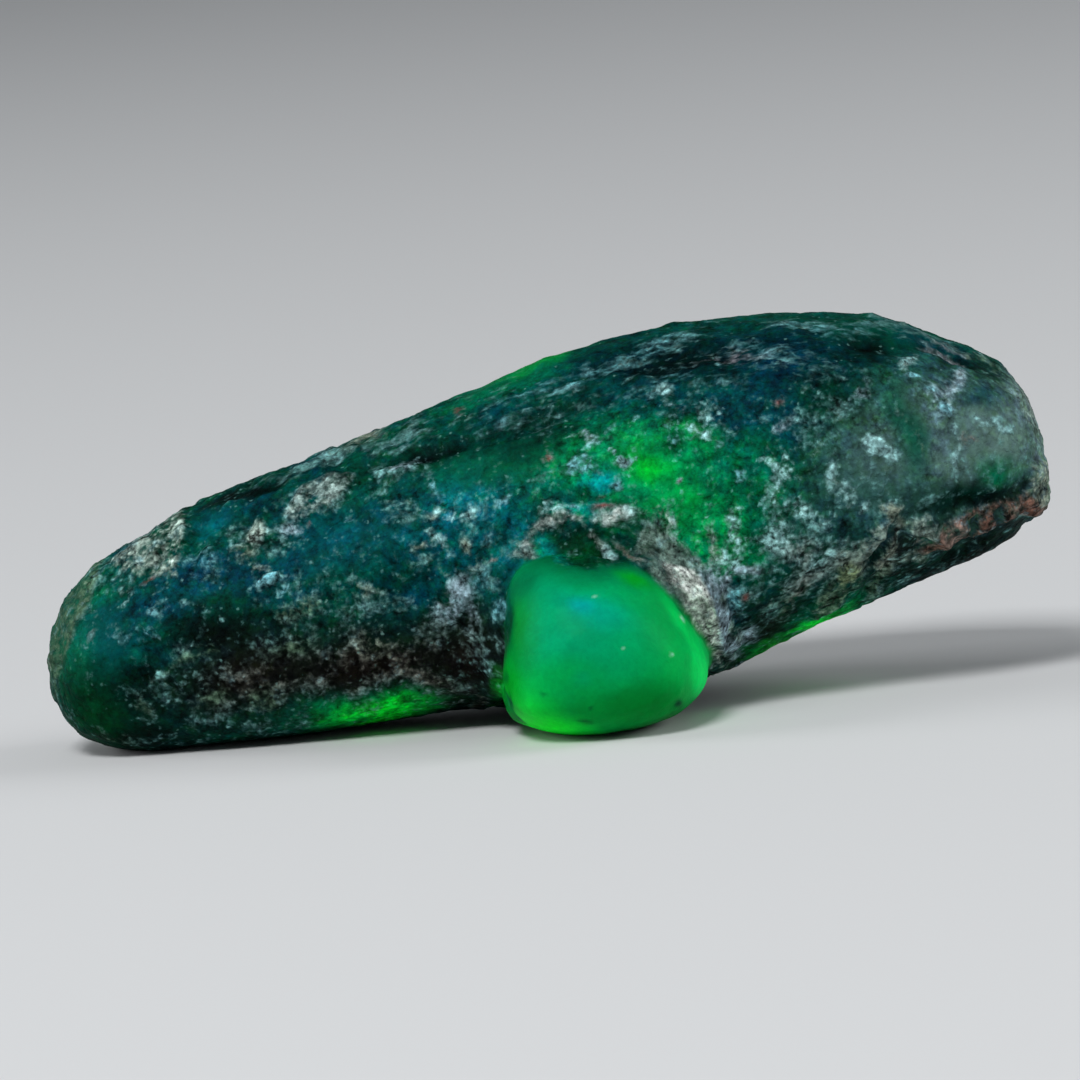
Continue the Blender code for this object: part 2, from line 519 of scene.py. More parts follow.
STAINS = (
    # the left end
    (-11.7, 2.7, 1.6, 0.8, 78, 0.75, "green"),
    (-10.9, 3.0, 1.2, 1.1, 0, 0.66, "teal"),
    (-11.2, 4.1, 0.9, 0.5, 50, 0.4, "green"),
    (-9.6, 3.6, 1.0, 0.5, 0, 0.9, "blue"),
    # painted shade: the left end darker towards its bottom
    (-10.7, 0.9, 2.4, 1.2, -15, 1.0, "deep_and_shade"),
    (-11.2, 0.9, 1.4, 0.9, -35, 0.9, "bottle_shade"),
    (-10.0, 1.7, 1.0, 0.7, 0, 0.7, "ink_and_shadow"),
    (-9.9, 0.2, 1.4, 0.4, 0, 0.8, "ink_and_shadow"),
    (-9.3, 2.4, 1.1, 0.5, 0, 0.55, "dark_teal"),
    (-8.3, 3.0, 1.8, 0.75, 8, 1.0, "ink_and_shadow"),
    (-8.3, 3.75, 1.1, 0.45, 8, 0.8, "deep_and_shade"),
    (-8.6, 4.4, 1.3, 0.6, 10, 1.0, "blue"),
    (-8.6, 5.75, 1.0, 0.6, 15, 1.0, "dark_green"),
    (-8.4, 5.68, 0.5, 0.42, 0, 0.8, "lit_teal"),
    # the left shoulder
    (-7.5, 6.0, 1.2, 0.5, 15, 0.9, "dark_teal"),
    (-7.4, 4.3, 0.8, 0.6, 0, 0.9, "dark_blue"),
    (-7.4, 6.45, 2.0, 0.2, 20, 1.0, "ink_and_shadow"),
    (-6.3, 4.7, 0.9, 0.5, 0, 0.8, "blue"),
    (-5.0, 5.3, 1.8, 0.85, 10, 0.88, "teal"),
    (-6.3, 3.9, 1.3, 0.5, 0, 0.8, "dark_teal"),
    (-4.7, 6.8, 1.0, 0.35, 20, 0.9, "deep_and_shade"),
    (-3.9, 6.1, 1.0, 0.5, 15, 0.8, "dark_teal"),
    (-3.25, 3.85, 0.7, 0.5, 0, 0.9, "blue"),
    (-2.6, 4.6, 0.9, 0.5, 0, 0.8, "teal"),
    (-3.2, 5.2, 1.0, 0.6, 0, 0.9, "teal"),
    (-1.9, 5.9, 1.4, 1.1, 0, 0.9, "bright_teal"),
    (-2.05, 6.2, 0.8, 0.5, 0, 1.0, "lit_teal"),
    (-1.0, 5.3, 0.95, 1.0, 0, 1.0, "bright_teal"),
    (-1.6, 4.3, 0.6, 0.6, 0, 0.7, "teal"),
    (-1.0, 3.4, 0.6, 0.5, 60, 0.7, "teal"),
    # painted shade in the hollow left of the short crystal
    (-0.95, 2.4, 0.4, 1.4, 0, 1.0, "deep_and_shade"),
    (-1.6, 7.0, 1.6, 0.6, 10, 0.5, "green"),
    (-0.1, 7.1, 1.1, 0.7, 10, 0.7, "green"),
    # the long top
    (-2.9, 7.3, 1.5, 0.42, 15, 1.0, "ink_and_shadow"),
    (-0.2, 8.15, 2.4, 0.7, 17, 0.88, "deep_and_shade"),
    (0.3, 7.55, 1.3, 0.35, 12, 0.8, "dark_green"),
    (-2.7, 8.45, 1.5, 0.3, 21, 0.8, "dark_green"),
    (-0.8, 9.35, 2.2, 0.5, 20, 1.0, "green"),
    (-0.2, 9.75, 1.4, 0.28, 21, 1.0, "lit_green"),
    (2.6, 9.75, 2.8, 0.8, 12, 1.0, "midnight"),
    (3.6, 9.6, 2.6, 0.7, 6, 0.95, "ink_and_shadow"),
    (6.5, 10.0, 2.4, 0.6, -3, 0.9, "midnight"),
    (2.2, 8.7, 1.6, 0.6, 15, 0.7, "dark_teal"),
    (4.9, 8.3, 1.8, 1.2, 0, 1.0, "dark_teal"),
    (3.7, 7.7, 1.1, 0.6, -10, 0.75, "lit_green"),
    (5.2, 7.4, 0.8, 0.8, 0, 0.7, "green"),
    (6.6, 10.7, 2.6, 0.35, -2, 0.9, "dark_green"),
    (6.2, 9.4, 1.9, 0.8, 0, 0.9, "dark_blue"),
    # a painted glow over the short crystal, of light coming through the crystal
    (2.8, 6.7, 2.6, 1.5, -20, 0.95, "painted_shine"),
    (2.6, 7.0, 0.9, 0.5, -15, 1.0, "painted_glow"),
    (3.5, 6.0, 0.9, 0.6, -30, 0.45, "painted_glow"),
    (2.2, 7.4, 1.0, 0.4, 5, 0.6, "lit_green"),
    (3.2, 7.6, 0.6, 0.3, 10, 0.7, "dark_green"),
    (0.1, 7.75, 1.5, 0.4, 14, 0.8, "deep_and_shade"),
    (1.9, 6.2, 0.6, 0.3, 0, 0.6, "green"),
    (1.5, 6.85, 0.55, 0.4, 0, 0.9, "lit_teal"),
    (0.8, 7.1, 1.1, 0.7, 10, 0.85, "fern"),
    (0.4, 6.35, 0.4, 0.2, 0, 0.6, "deep_and_shade"),
    # painted highlight in turquoise
    (1.36, 6.75, 0.5, 0.22, -10, 1.0, "turquoise_highlight"),
    (0.75, 6.05, 0.6, 0.16, 5, 1.0, "turquoise_highlight"),
    (-0.1, 6.6, 0.8, 0.4, 0, 0.6, "lit_pine"),
    (0.9, 5.85, 0.9, 0.35, 0, 0.9, "lit_pine"),
    # painted shine right of the short crystal, of light coming through the crystal
    (4.5, 5.2, 1.0, 1.0, 0, 0.9, "painted_shine"),
    (3.6, 5.5, 0.8, 0.5, -40, 0.8, "painted_shine"),
    (5.5, 6.4, 0.8, 1.6, 0, 0.9, "green"),
    # the right end
    (9.9, 7.3, 3.1, 2.3, 0, 1.0, "film"),
    (8.6, 6.4, 1.1, 0.6, 0, 1.0, "dim_film"),
    (7.3, 6.0, 1.6, 1.2, 0, 0.4, "dim_film"),
    (9.0, 7.95, 1.9, 0.52, -70, 1.0, "pine"),
    (7.2, 8.9, 1.3, 0.9, 0, 0.9, "deep_and_shade"),
    (8.1, 10.0, 0.9, 0.35, -5, 1.0, "ink_and_shadow"),
    (10.2, 9.75, 1.5, 0.3, -20, 0.9, "ink_and_shadow"),
    (9.5, 10.2, 1.5, 0.22, -22, 0.8, "dark_teal"),
    (11.4, 8.0, 1.1, 1.2, 0, 0.7, "pale_film"),
    (10.9, 8.8, 0.6, 0.4, 0, 0.8, "dark_teal"),
    (11.3, 6.9, 0.6, 0.45, 0, 1.0, "green"),
    # painted shadow in a band above the ledge under the right end
    (10.0, 6.2, 1.8, 0.55, 12, 0.8, "deep_and_shade"),
    (10.7, 6.3, 1.6, 0.36, 17, 1.0, "deep_and_shade"),
    (11.0, 6.2, 1.2, 0.2, 17, 0.9, "ink_and_shadow"),
    (12.1, 8.6, 1.6, 0.35, -65, 1.0, "pale_film"),
    (12.35, 7.1, 1.3, 0.26, -88, 1.0, "pale_film"),
    # painted shadow under the ledge
    (10.3, 4.6, 2.6, 0.75, 27, 1.0, "ink_and_shadow"),
    (6.1, 3.3, 1.6, 1.3, 20, 0.9, "deep_and_shade"),
    # painted glow along the lower right edge, of light coming through the crystal
    (6.6, 3.1, 2.2, 0.55, 24, 1.0, "green"),
    (6.3, 2.85, 1.7, 0.28, 24, 1.0, "painted_blaze"),
    (4.75, 3.6, 0.36, 0.6, 0, 1.0, "blue"),
    (8.6, 4.8, 1.1, 0.6, 50, 0.9, "mica"),
    (5.6, 3.0, 0.9, 0.5, 30, 0.8, "mica"),
    # painted shade above the short crystal, where the collar overhangs it
    (0.9, 5.0, 1.3, 0.5, -5, 1.0, "bottle_shade"),
    (0.05, 4.85, 0.6, 0.35, -20, 1.0, "lit_pine"),
    (2.3, 5.15, 0.5, 0.45, -45, 0.9, "deep_and_shade"),
    (3.2, 4.6, 1.4, 0.5, -50, 0.8, "mica"),
    (4.3, 3.0, 1.2, 0.5, -70, 0.9, "mica"),
    # painted glow beside the short crystal's lower left
    (-1.15, 1.6, 0.24, 0.6, 10, 0.85, "painted_glow"),
    # the mica and the lower edge
    (-4.3, 2.15, 4.4, 1.25, 8, 1.0, "mica"),
    (-7.6, 1.85, 2.6, 1.4, 15, 0.95, "mica"),
    (-1.9, 2.2, 1.2, 1.6, -15, 0.95, "mica"),
    # painted glow along the lower edge, of light coming through the crystal
    (-4.6, 1.05, 2.3, 0.55, 8, 1.0, "green"),
    (-4.3, 0.85, 1.7, 0.38, 9, 1.0, "lit_green"),
    (-4.15, 1.02, 1.65, 0.42, 8, 1.0, "painted_glow"),
    (-4.1, 0.94, 1.3, 0.32, 8, 1.0, "painted_blaze"),
    (-2.7, 1.6, 0.6, 0.3, -20, 0.85, "mica"),
)
print("stains:", len(STAINS), "in", len(TONES), "tones")

# %% [markdown]
# Over the crystal lies a crust of pale grains. Its tones are those of the grains where the crust is
# thick. The strength is how thick it is, and 0 cleans the crystal again.

# %% The crust
GRAINS = {
    "white": (0.232, 0.435, 0.435),
    "pearl": (0.245, 0.33, 0.29),
    "shell": (0.45, 0.49, 0.465),
    "pale": (0.155, 0.208, 0.18),
    "grey": (0.068, 0.166, 0.16),
    "blue": (0.11, 0.3, 0.345),
    "steel": (0.064, 0.205, 0.225),
    "lilac": (0.19, 0.27, 0.315),
    "mauve": (0.17, 0.165, 0.185),
    "tan": (0.168, 0.203, 0.158),
    "straw": (0.16, 0.215, 0.11),
    "olive": (0.07, 0.125, 0.08),
    "moss": (0.038, 0.076, 0.046),
    "brown": (0.088, 0.088, 0.075),
    "pink": (0.16, 0.112, 0.092),
    "ash": (0.104, 0.164, 0.14),
    "chalk": (0.29, 0.33, 0.31),
    "frost": (0.165, 0.235, 0.22),
    "brick": (0.12, 0.036, 0.03),
    "rust": (0.095, 0.05, 0.037),
}
CRUST = (
    # clean stretches
    (-11.2, 2.4, 1.6, 0.75, 75, 0.02, "grey"),
    (1.5, 9.7, 4.5, 0.9, 12, 0.16, "grey"),
    (8.0, 10.2, 3.0, 0.6, -12, 0.2, "grey"),
    (-10.6, 1.3, 2.2, 1.6, -10, 0.18, "grey"),
    (-8.3, 3.45, 1.5, 0.75, 8, 0.08, "grey"),
    (-5.0, 5.2, 1.5, 0.75, 10, 0.16, "grey"),
    (-4.0, 6.2, 1.4, 0.6, 15, 0.24, "grey"),
    (-0.5, 6.6, 0.9, 0.7, 0, 0.22, "grey"),
    (-1.4, 7.1, 1.8, 0.6, 12, 0.1, "grey"),
    (3.2, 7.1, 2.4, 1.2, -12, 0.08, "blue"),
    (-0.2, 8.2, 2.0, 0.5, 17, 0.25, "grey"),
    (9.8, 6.9, 2.2, 1.0, 10, 0.2, "grey"),
    (5.5, 8.0, 1.2, 0.8, 0, 0.22, "grey"),
    # the left end
    (-12.15, 2.8, 1.5, 0.2, 72, 0.45, "moss"),
    (-11.3, 4.4, 0.8, 0.22, 42, 0.5, "moss"),
    (-9.9, 4.9, 1.0, 0.55, 38, 0.8, "grey"),
    (-9.4, 5.1, 0.75, 0.38, 72, 1.05, "grey"),
    (-9.3, 4.75, 0.35, 0.16, 80, 1.1, "pearl"),
    (-9.9, 4.6, 0.55, 0.16, 45, 0.7, "rust"),
    (-9.95, 4.17, 0.3, 0.1, 20, 1.1, "brick"),
    (-5.9, 5.6, 0.12, 0.12, 0, 1.2, "brick"),
    (-1.25, 4.67, 0.16, 0.13, 30, 1.2, "brick"),
    (-2.16, 8.56, 0.3, 0.14, 15, 0.75, "brick"),
    (-8.45, 4.75, 0.45, 0.42, 0, 0.65, "blue"),
    (-9.88, 3.42, 0.16, 0.16, 0, 1.0, "blue"),
    (-10.4, 3.85, 0.3, 0.12, 70, 1.0, "white"),
    (-10.7, 4.0, 0.14, 0.14, 0, 0.8, "grey"),
    (-11.3, 2.8, 0.22, 0.09, 35, 1.1, "grey"),
    (-10.2, 2.8, 0.7, 0.3, 0, 0.45, "blue"),
    (-10.7, 0.35, 0.6, 0.16, -20, 0.6, "olive"),
    (-10.0, 1.1, 0.45, 0.16, -65, 0.75, "olive"),
    # the left shoulder
    (-7.7, 5.25, 0.35, 0.6, 10, 0.6, "grey"),
    (-7.22, 5.42, 0.26, 0.34, -15, 1.1, "tan"),
    (-6.46, 5.45, 0.45, 0.24, -10, 1.0, "lilac"),
    (-7.45, 4.9, 0.4, 0.2, 20, 0.85, "tan"),
    (-7.15, 4.55, 0.25, 0.16, 0, 0.8, "tan"),
    (-6.94, 4.27, 0.38, 0.13, 33, 1.6, "blue"),
    (-6.55, 4.1, 0.35, 0.16, 20, 0.7, "blue"),
    (-6.25, 4.2, 0.5, 0.12, 85, 0.7, "grey"),
    (-5.65, 6.3, 1.05, 0.48, 33, 0.9, "grey"),
    (-5.2, 6.55, 0.4, 0.18, 40, 1.0, "pale"),
    (-6.2, 5.9, 0.35, 0.35, 0, 0.6, "blue"),
    (-4.9, 5.75, 0.2, 0.14, 0, 0.8, "blue"),
    (-5.6, 7.18, 1.2, 0.17, 20, 1.15, "grey"),
    (-4.5, 7.75, 0.7, 0.18, 22, 0.9, "tan"),
    (-3.6, 7.7, 1.0, 0.22, 20, 0.72, "grey"),
    (-4.1, 6.95, 0.3, 0.3, 0, 0.6, "grey"),
    (-3.55, 7.0, 0.5, 0.22, 20, 0.85, "lilac"),
    (-3.9, 6.7, 0.45, 0.16, 15, 0.8, "grey"),
    (-3.0, 6.85, 0.4, 0.2, -35, 0.6, "grey"),
    (-2.68, 6.4, 0.2, 0.4, 8, 0.8, "blue"),
    (-2.65, 5.98, 0.2, 0.14, 0, 1.0, "white"),
    (-2.75, 5.8, 0.35, 0.15, -30, 0.8, "tan"),
    (-2.2, 5.8, 0.5, 0.3, 0, 0.55, "white"),
    (-3.6, 5.95, 0.5, 0.26, 20, 0.75, "grey"),
    (-2.7, 5.3, 0.45, 0.13, -25, 1.0, "white"),
    (-3.2, 5.05, 0.4, 0.13, 15, 0.8, "tan"),
    (-3.05, 4.75, 0.3, 0.13, 0, 0.9, "grey"),
    (-1.95, 5.05, 0.15, 0.3, 0, 0.9, "tan"),
    (-1.45, 5.15, 0.2, 0.2, 0, 0.8, "grey"),
    (-1.1, 6.1, 0.25, 0.14, 35, 0.9, "blue"),
    (-1.7, 4.5, 0.3, 0.2, 0, 0.6, "tan"),
    (-2.15, 4.05, 0.5, 0.55, 0, 1.15, "lilac"),
    (-1.6, 4.2, 0.5, 0.4, 60, 0.8, "steel"),
    (-2.4, 3.55, 0.75, 0.5, 30, 0.98, "lilac"),
    (-1.9, 3.35, 0.25, 0.6, 15, 0.88, "lilac"),
    (-1.2, 3.6, 0.55, 0.16, 62, 0.7, "blue"),
    (-0.8, 3.3, 0.3, 0.1, -60, 0.7, "blue"),
    (-4.5, 3.9, 0.7, 0.4, 0, 0.62, "tan"),
    (-4.1, 3.6, 0.8, 0.45, 0, 0.74, "grey"),
    (-5.0, 3.4, 0.4, 0.4, 0, 0.55, "grey"),
    (-5.95, 3.6, 0.45, 0.38, 0, 0.88, "olive"),
    (-6.6, 3.35, 0.5, 0.35, 0, 0.75, "olive"),
    # the mica and the lower edge
    (-4.3, 2.25, 3.6, 0.9, 8, 0.54, "brown"),
    (-7.3, 1.65, 1.9, 0.85, 15, 0.47, "brown"),
    (-3.0, 1.8, 1.4, 0.35, -25, 0.7, "brown"),
    (-8.6, 2.95, 0.9, 0.42, 10, 0.12, "grey"),
    (-4.3, 2.6, 0.6, 0.3, 0, 0.66, "tan"),
    (-6.3, 2.6, 0.8, 0.3, 20, 0.62, "olive"),
    (-9.0, 2.1, 0.8, 0.13, 25, 0.62, "olive"),
    (-8.5, 2.5, 0.75, 0.28, 15, 0.2, "olive"),
    (-8.3, 1.3, 0.6, 0.3, 20, 0.75, "olive"),
    (-7.0, 1.2, 0.6, 0.35, 0, 0.7, "olive"),
    (-8.1, 0.7, 1.2, 0.2, -5, 0.6, "grey"),
    (-1.6, 1.2, 0.7, 0.2, -45, 0.75, "brown"),
    (-4.8, 1.1, 1.4, 0.35, 5, 0.35, "grey"),
    # the arch of grains over the short crystal
    (-0.55, 4.78, 0.4, 0.16, -10, 1.0, "pale"),
    (-0.3, 5.15, 0.55, 0.22, 35, 0.68, "chalk"),
    (0.2, 5.6, 0.6, 0.28, 25, 0.94, "chalk"),
    (0.1, 6.0, 0.4, 0.2, 10, 0.92, "white"),
    (0.8, 6.15, 0.3, 0.1, 0, 1.2, "blue"),
    (0.7, 5.65, 0.6, 0.16, 0, 0.75, "chalk"),
    (1.4, 6.12, 0.26, 0.13, 0, 1.3, "brick"),
    (1.4, 6.45, 0.16, 0.08, 0, 1.1, "brick"),
    (1.75, 5.75, 0.6, 0.3, 0, 1.06, "chalk"),
    (2.35, 5.75, 0.6, 0.2, -25, 0.98, "white"),
    (0.7, 5.0, 1.0, 0.3, -5, 0.1, "grey"),
    (1.35, 5.15, 0.55, 0.12, -50, 0.9, "chalk"),
    (1.55, 4.95, 0.2, 0.1, 0, 1.1, "white"),
    (2.1, 4.9, 0.45, 0.13, -35, 1.0, "pink"),
    (3.0, 4.95, 1.1, 0.34, -52, 0.85, "ash"),
    (3.9, 3.7, 0.9, 0.34, -68, 1.05, "pale"),
    (4.45, 3.85, 0.55, 0.3, -70, 1.1, "lilac"),
    (4.6, 2.6, 0.4, 0.3, -60, 1.05, "lilac"),
    (4.9, 4.5, 0.55, 0.22, 10, 0.95, "lilac"),
    (5.05, 2.9, 0.4, 0.3, 30, 1.0, "lilac"),
    (5.9, 3.6, 0.6, 0.4, 40, 0.7, "olive"),
    (4.2, 1.95, 0.4, 0.4, 0, 0.7, "olive"),
    (4.85, 3.6, 0.4, 0.3, 80, 1.0, "blue"),
    (5.16, 3.7, 0.16, 0.13, 0, 1.2, "brick"),
    (3.92, 4.5, 0.14, 0.16, 0, 1.2, "brick"),
    (4.35, 4.6, 0.45, 0.3, 80, 1.0, "white"),
    (5.8, 2.6, 0.8, 0.3, 25, 0.4, "grey"),
    # over the glow
    (0.85, 7.75, 0.4, 0.16, 15, 0.75, "lilac"),
    (0.8, 7.15, 0.45, 0.16, 30, 0.92, "blue"),
    (0.06, 7.35, 0.2, 0.12, 0, 0.75, "brick"),
    (3.42, 6.53, 0.13, 0.13, 0, 1.1, "brick"),
    (1.55, 7.45, 0.16, 0.1, -30, 1.15, "white"),
    (1.95, 7.15, 0.28, 0.12, -15, 1.15, "white"),
    (1.1, 7.0, 0.3, 0.18, 0, 0.85, "blue"),
    (1.7, 6.6, 0.25, 0.12, -20, 1.0, "blue"),
    (3.8, 7.4, 0.16, 0.2, 0, 0.8, "blue"),
    (4.9, 6.9, 0.25, 0.1, -45, 0.8, "blue"),
    (4.65, 5.6, 0.6, 0.16, 80, 0.8, "white"),
    (4.2, 5.05, 0.6, 0.16, 88, 0.95, "pearl"),
    (4.75, 5.0, 0.5, 0.15, 85, 0.9, "white"),
    (2.9, 5.7, 0.5, 0.14, -40, 0.75, "pearl"),
    # the long top
    (2.6, 9.95, 1.6, 0.3, 20, 0.64, "steel"),
    (1.2, 9.3, 1.2, 0.22, 22, 0.74, "steel"),
    (3.4, 9.3, 1.8, 0.45, 12, 0.48, "steel"),
    (5.4, 9.9, 1.6, 0.45, 5, 0.38, "steel"),
    (4.6, 9.75, 1.2, 0.2, 3, 0.58, "mauve"),
    (7.0, 10.45, 1.6, 0.22, -3, 0.74, "steel"),
    (-0.3, 9.0, 1.5, 0.3, 20, 0.45, "steel"),
    (-1.2, 8.2, 0.7, 0.16, 20, 0.42, "steel"),
    (3.0, 8.9, 0.3, 0.16, -30, 0.8, "white"),
    (3.4, 8.55, 0.45, 0.18, -20, 0.55, "lilac"),
    (4.1, 8.35, 0.4, 0.3, 30, 0.48, "white"),
    (3.1, 8.0, 0.2, 0.12, 0, 0.75, "blue"),
    (3.9, 7.9, 0.45, 0.13, -15, 0.6, "white"),
    (5.85, 8.73, 0.2, 0.12, 30, 0.85, "brick"),
    (5.95, 8.1, 0.3, 0.25, 0, 0.7, "lilac"),
    # right of the glow
    (5.6, 7.4, 0.3, 0.3, 0, 0.52, "white"),
    (5.9, 7.0, 0.3, 0.5, 0, 0.62, "white"),
    (5.7, 6.4, 0.2, 0.4, 0, 0.6, "white"),
    (6.4, 5.4, 1.1, 0.7, 0, 0.85, "grey"),
    (5.8, 5.2, 0.45, 0.4, 0, 1.0, "white"),
    (6.6, 4.9, 0.8, 0.45, 0, 1.1, "frost"),
    (6.6, 4.3, 0.9, 0.4, 20, 0.95, "frost"),
    (7.6, 4.8, 0.6, 0.35, 50, 1.0, "pale"),
    (7.6, 5.7, 0.5, 0.35, 50, 0.2, "grey"),
    (7.0, 4.75, 0.5, 0.25, 40, 0.95, "white"),
    (6.6, 5.9, 0.8, 0.2, -15, 0.8, "white"),
    (7.2, 6.9, 0.25, 0.5, 0, 0.9, "white"),
    (7.55, 6.4, 0.3, 0.5, 0, 0.8, "white"),
    (6.6, 8.3, 0.4, 0.3, 0, 0.62, "grey"),
    (7.6, 8.6, 0.5, 0.3, 0, 0.66, "grey"),
    (7.9, 9.0, 0.3, 0.2, 0, 0.8, "lilac"),
    (8.1, 7.75, 0.35, 0.28, 0, 0.7, "white"),
    (8.55, 7.45, 0.35, 0.17, -10, 0.8, "white"),
    (7.9, 6.0, 0.25, 0.14, 50, 1.1, "white"),
    # the right end
    (8.0, 4.72, 0.45, 0.09, 58, 0.05, "brown"),
    (11.0, 6.22, 1.3, 0.16, 17, 0.12, "grey"),
    (9.95, 8.75, 0.5, 0.6, 0, 0.7, "lilac"),
    (10.2, 9.95, 1.1, 0.22, -24, 0.75, "mauve"),
    (9.15, 7.8, 1.4, 0.07, -68, 0.75, "olive"),
    (9.05, 9.62, 0.17, 0.14, 0, 1.5, "white"),
    (9.35, 9.37, 0.3, 0.1, -5, 1.3, "blue"),
    (9.5, 9.0, 0.4, 0.12, -10, 0.9, "blue"),
    (10.2, 9.15, 0.24, 0.2, 60, 1.15, "lilac"),
    (10.0, 8.55, 0.25, 0.3, 60, 0.95, "blue"),
    (10.1, 7.9, 0.16, 0.25, 0, 0.9, "white"),
    (10.2, 7.2, 0.16, 0.45, 0, 0.95, "white"),
    (10.6, 7.6, 0.5, 0.25, 0, 0.5, "rust"),
    (10.9, 8.1, 0.3, 0.13, 20, 1.0, "white"),
    (11.2, 8.2, 0.22, 0.09, -50, 1.4, "white"),
    (11.4, 8.04, 0.26, 0.12, 25, 1.4, "white"),
    (12.1, 8.5, 1.5, 0.24, -68, 0.9, "pale"),
    (11.0, 9.6, 1.0, 0.14, -35, 0.8, "olive"),
    (9.0, 10.4, 1.2, 0.14, -18, 0.62, "grey"),
    (10.0, 9.8, 0.7, 0.12, -22, 0.85, "mauve"),
    (10.45, 9.75, 0.9, 0.08, -24, 0.1, "grey"),
    (12.25, 6.5, 0.6, 0.2, 80, 0.85, "tan"),
    # the ledge under the right end
    (10.9, 5.8, 1.5, 0.26, 28, 0.6, "rust"),
    (10.25, 5.35, 0.2, 0.13, 0, 1.4, "white"),
    (9.8, 5.55, 0.5, 0.2, 40, 0.7, "rust"),
    (9.2, 5.6, 0.6, 0.2, -10, 0.9, "olive"),
    (8.8, 5.35, 0.5, 0.2, 60, 0.8, "brown"),
    (8.6, 6.05, 0.3, 0.16, 30, 0.8, "tan"),
    (9.6, 6.2, 0.3, 0.16, 30, 0.8, "grey"),
    (7.95, 4.9, 0.8, 0.2, 62, 1.0, "tan"),
    (8.6, 4.7, 0.6, 0.2, 70, 0.92, "tan"),
    (7.6, 4.1, 0.6, 0.2, 50, 0.8, "olive"),
    (8.3, 4.1, 0.6, 0.2, 55, 0.85, "olive"),
    (9.3, 4.9, 0.5, 0.2, 30, 0.75, "tan"),
    (6.3, 3.9, 0.6, 0.2, 50, 0.7, "brown"),
    (5.6, 3.4, 0.6, 0.2, 60, 0.8, "grey"),
    (9.6, 4.7, 0.4, 0.3, 0, 0.5, "grey"),
)
print("crust:", len(CRUST), "patches in", len(GRAINS), "tones")

# %% [markdown]
# Some stretches are worn smoother than others, and along the top the grains are drawn out. Here the
# last number of a row is how much.

# %% Smooth and streaked stretches
SMOOTH = (
    (-12.1, 3.0, 1.7, 0.4, 72, 0.9),
    (-11.2, 2.4, 1.6, 0.8, 75, 0.8),
    (-10.9, 0.9, 1.5, 0.8, -15, 0.5),
    (-8.4, 5.68, 0.6, 0.4, 0, 0.6),
    (-5.0, 5.2, 1.5, 0.8, 10, 0.45),
    (-1.3, 7.1, 1.9, 0.6, 12, 0.7),
    (2.9, 6.6, 1.6, 1.1, -20, 0.5),
    (8.0, 6.7, 1.3, 0.8, 0, 0.8),
    (9.1, 7.9, 0.4, 1.4, 12, 0.8),
    (10.9, 7.6, 1.3, 1.2, 0, 0.8),
    (8.3, 7.55, 0.7, 0.45, -20, 0.7),
    (9.9, 6.3, 1.2, 0.5, 20, 0.7),
    (8.0, 10.5, 2.6, 0.4, -8, 0.6),
    (-0.5, 9.6, 2.2, 0.4, 20, 0.7),
)
STREAKED = (
    (-4.5, 7.6, 4.5, 0.6, 20, 1.0),
    (0.0, 8.9, 4.0, 1.0, 18, 1.0),
    (5.0, 10.0, 4.5, 1.1, 3, 1.0),
    (10.0, 9.6, 2.5, 0.8, -20, 1.0),
)
print("smooth:", len(SMOOTH), "streaked:", len(STREAKED))

# %% [markdown]
# The short crystal's bare end has its own few tones. Some are painted light: a painted reflection
# of soft blue sky on its brow, painted shade along its top and left side, a brighter painted glow
# along its rim and lower edge, and a few painted glints.

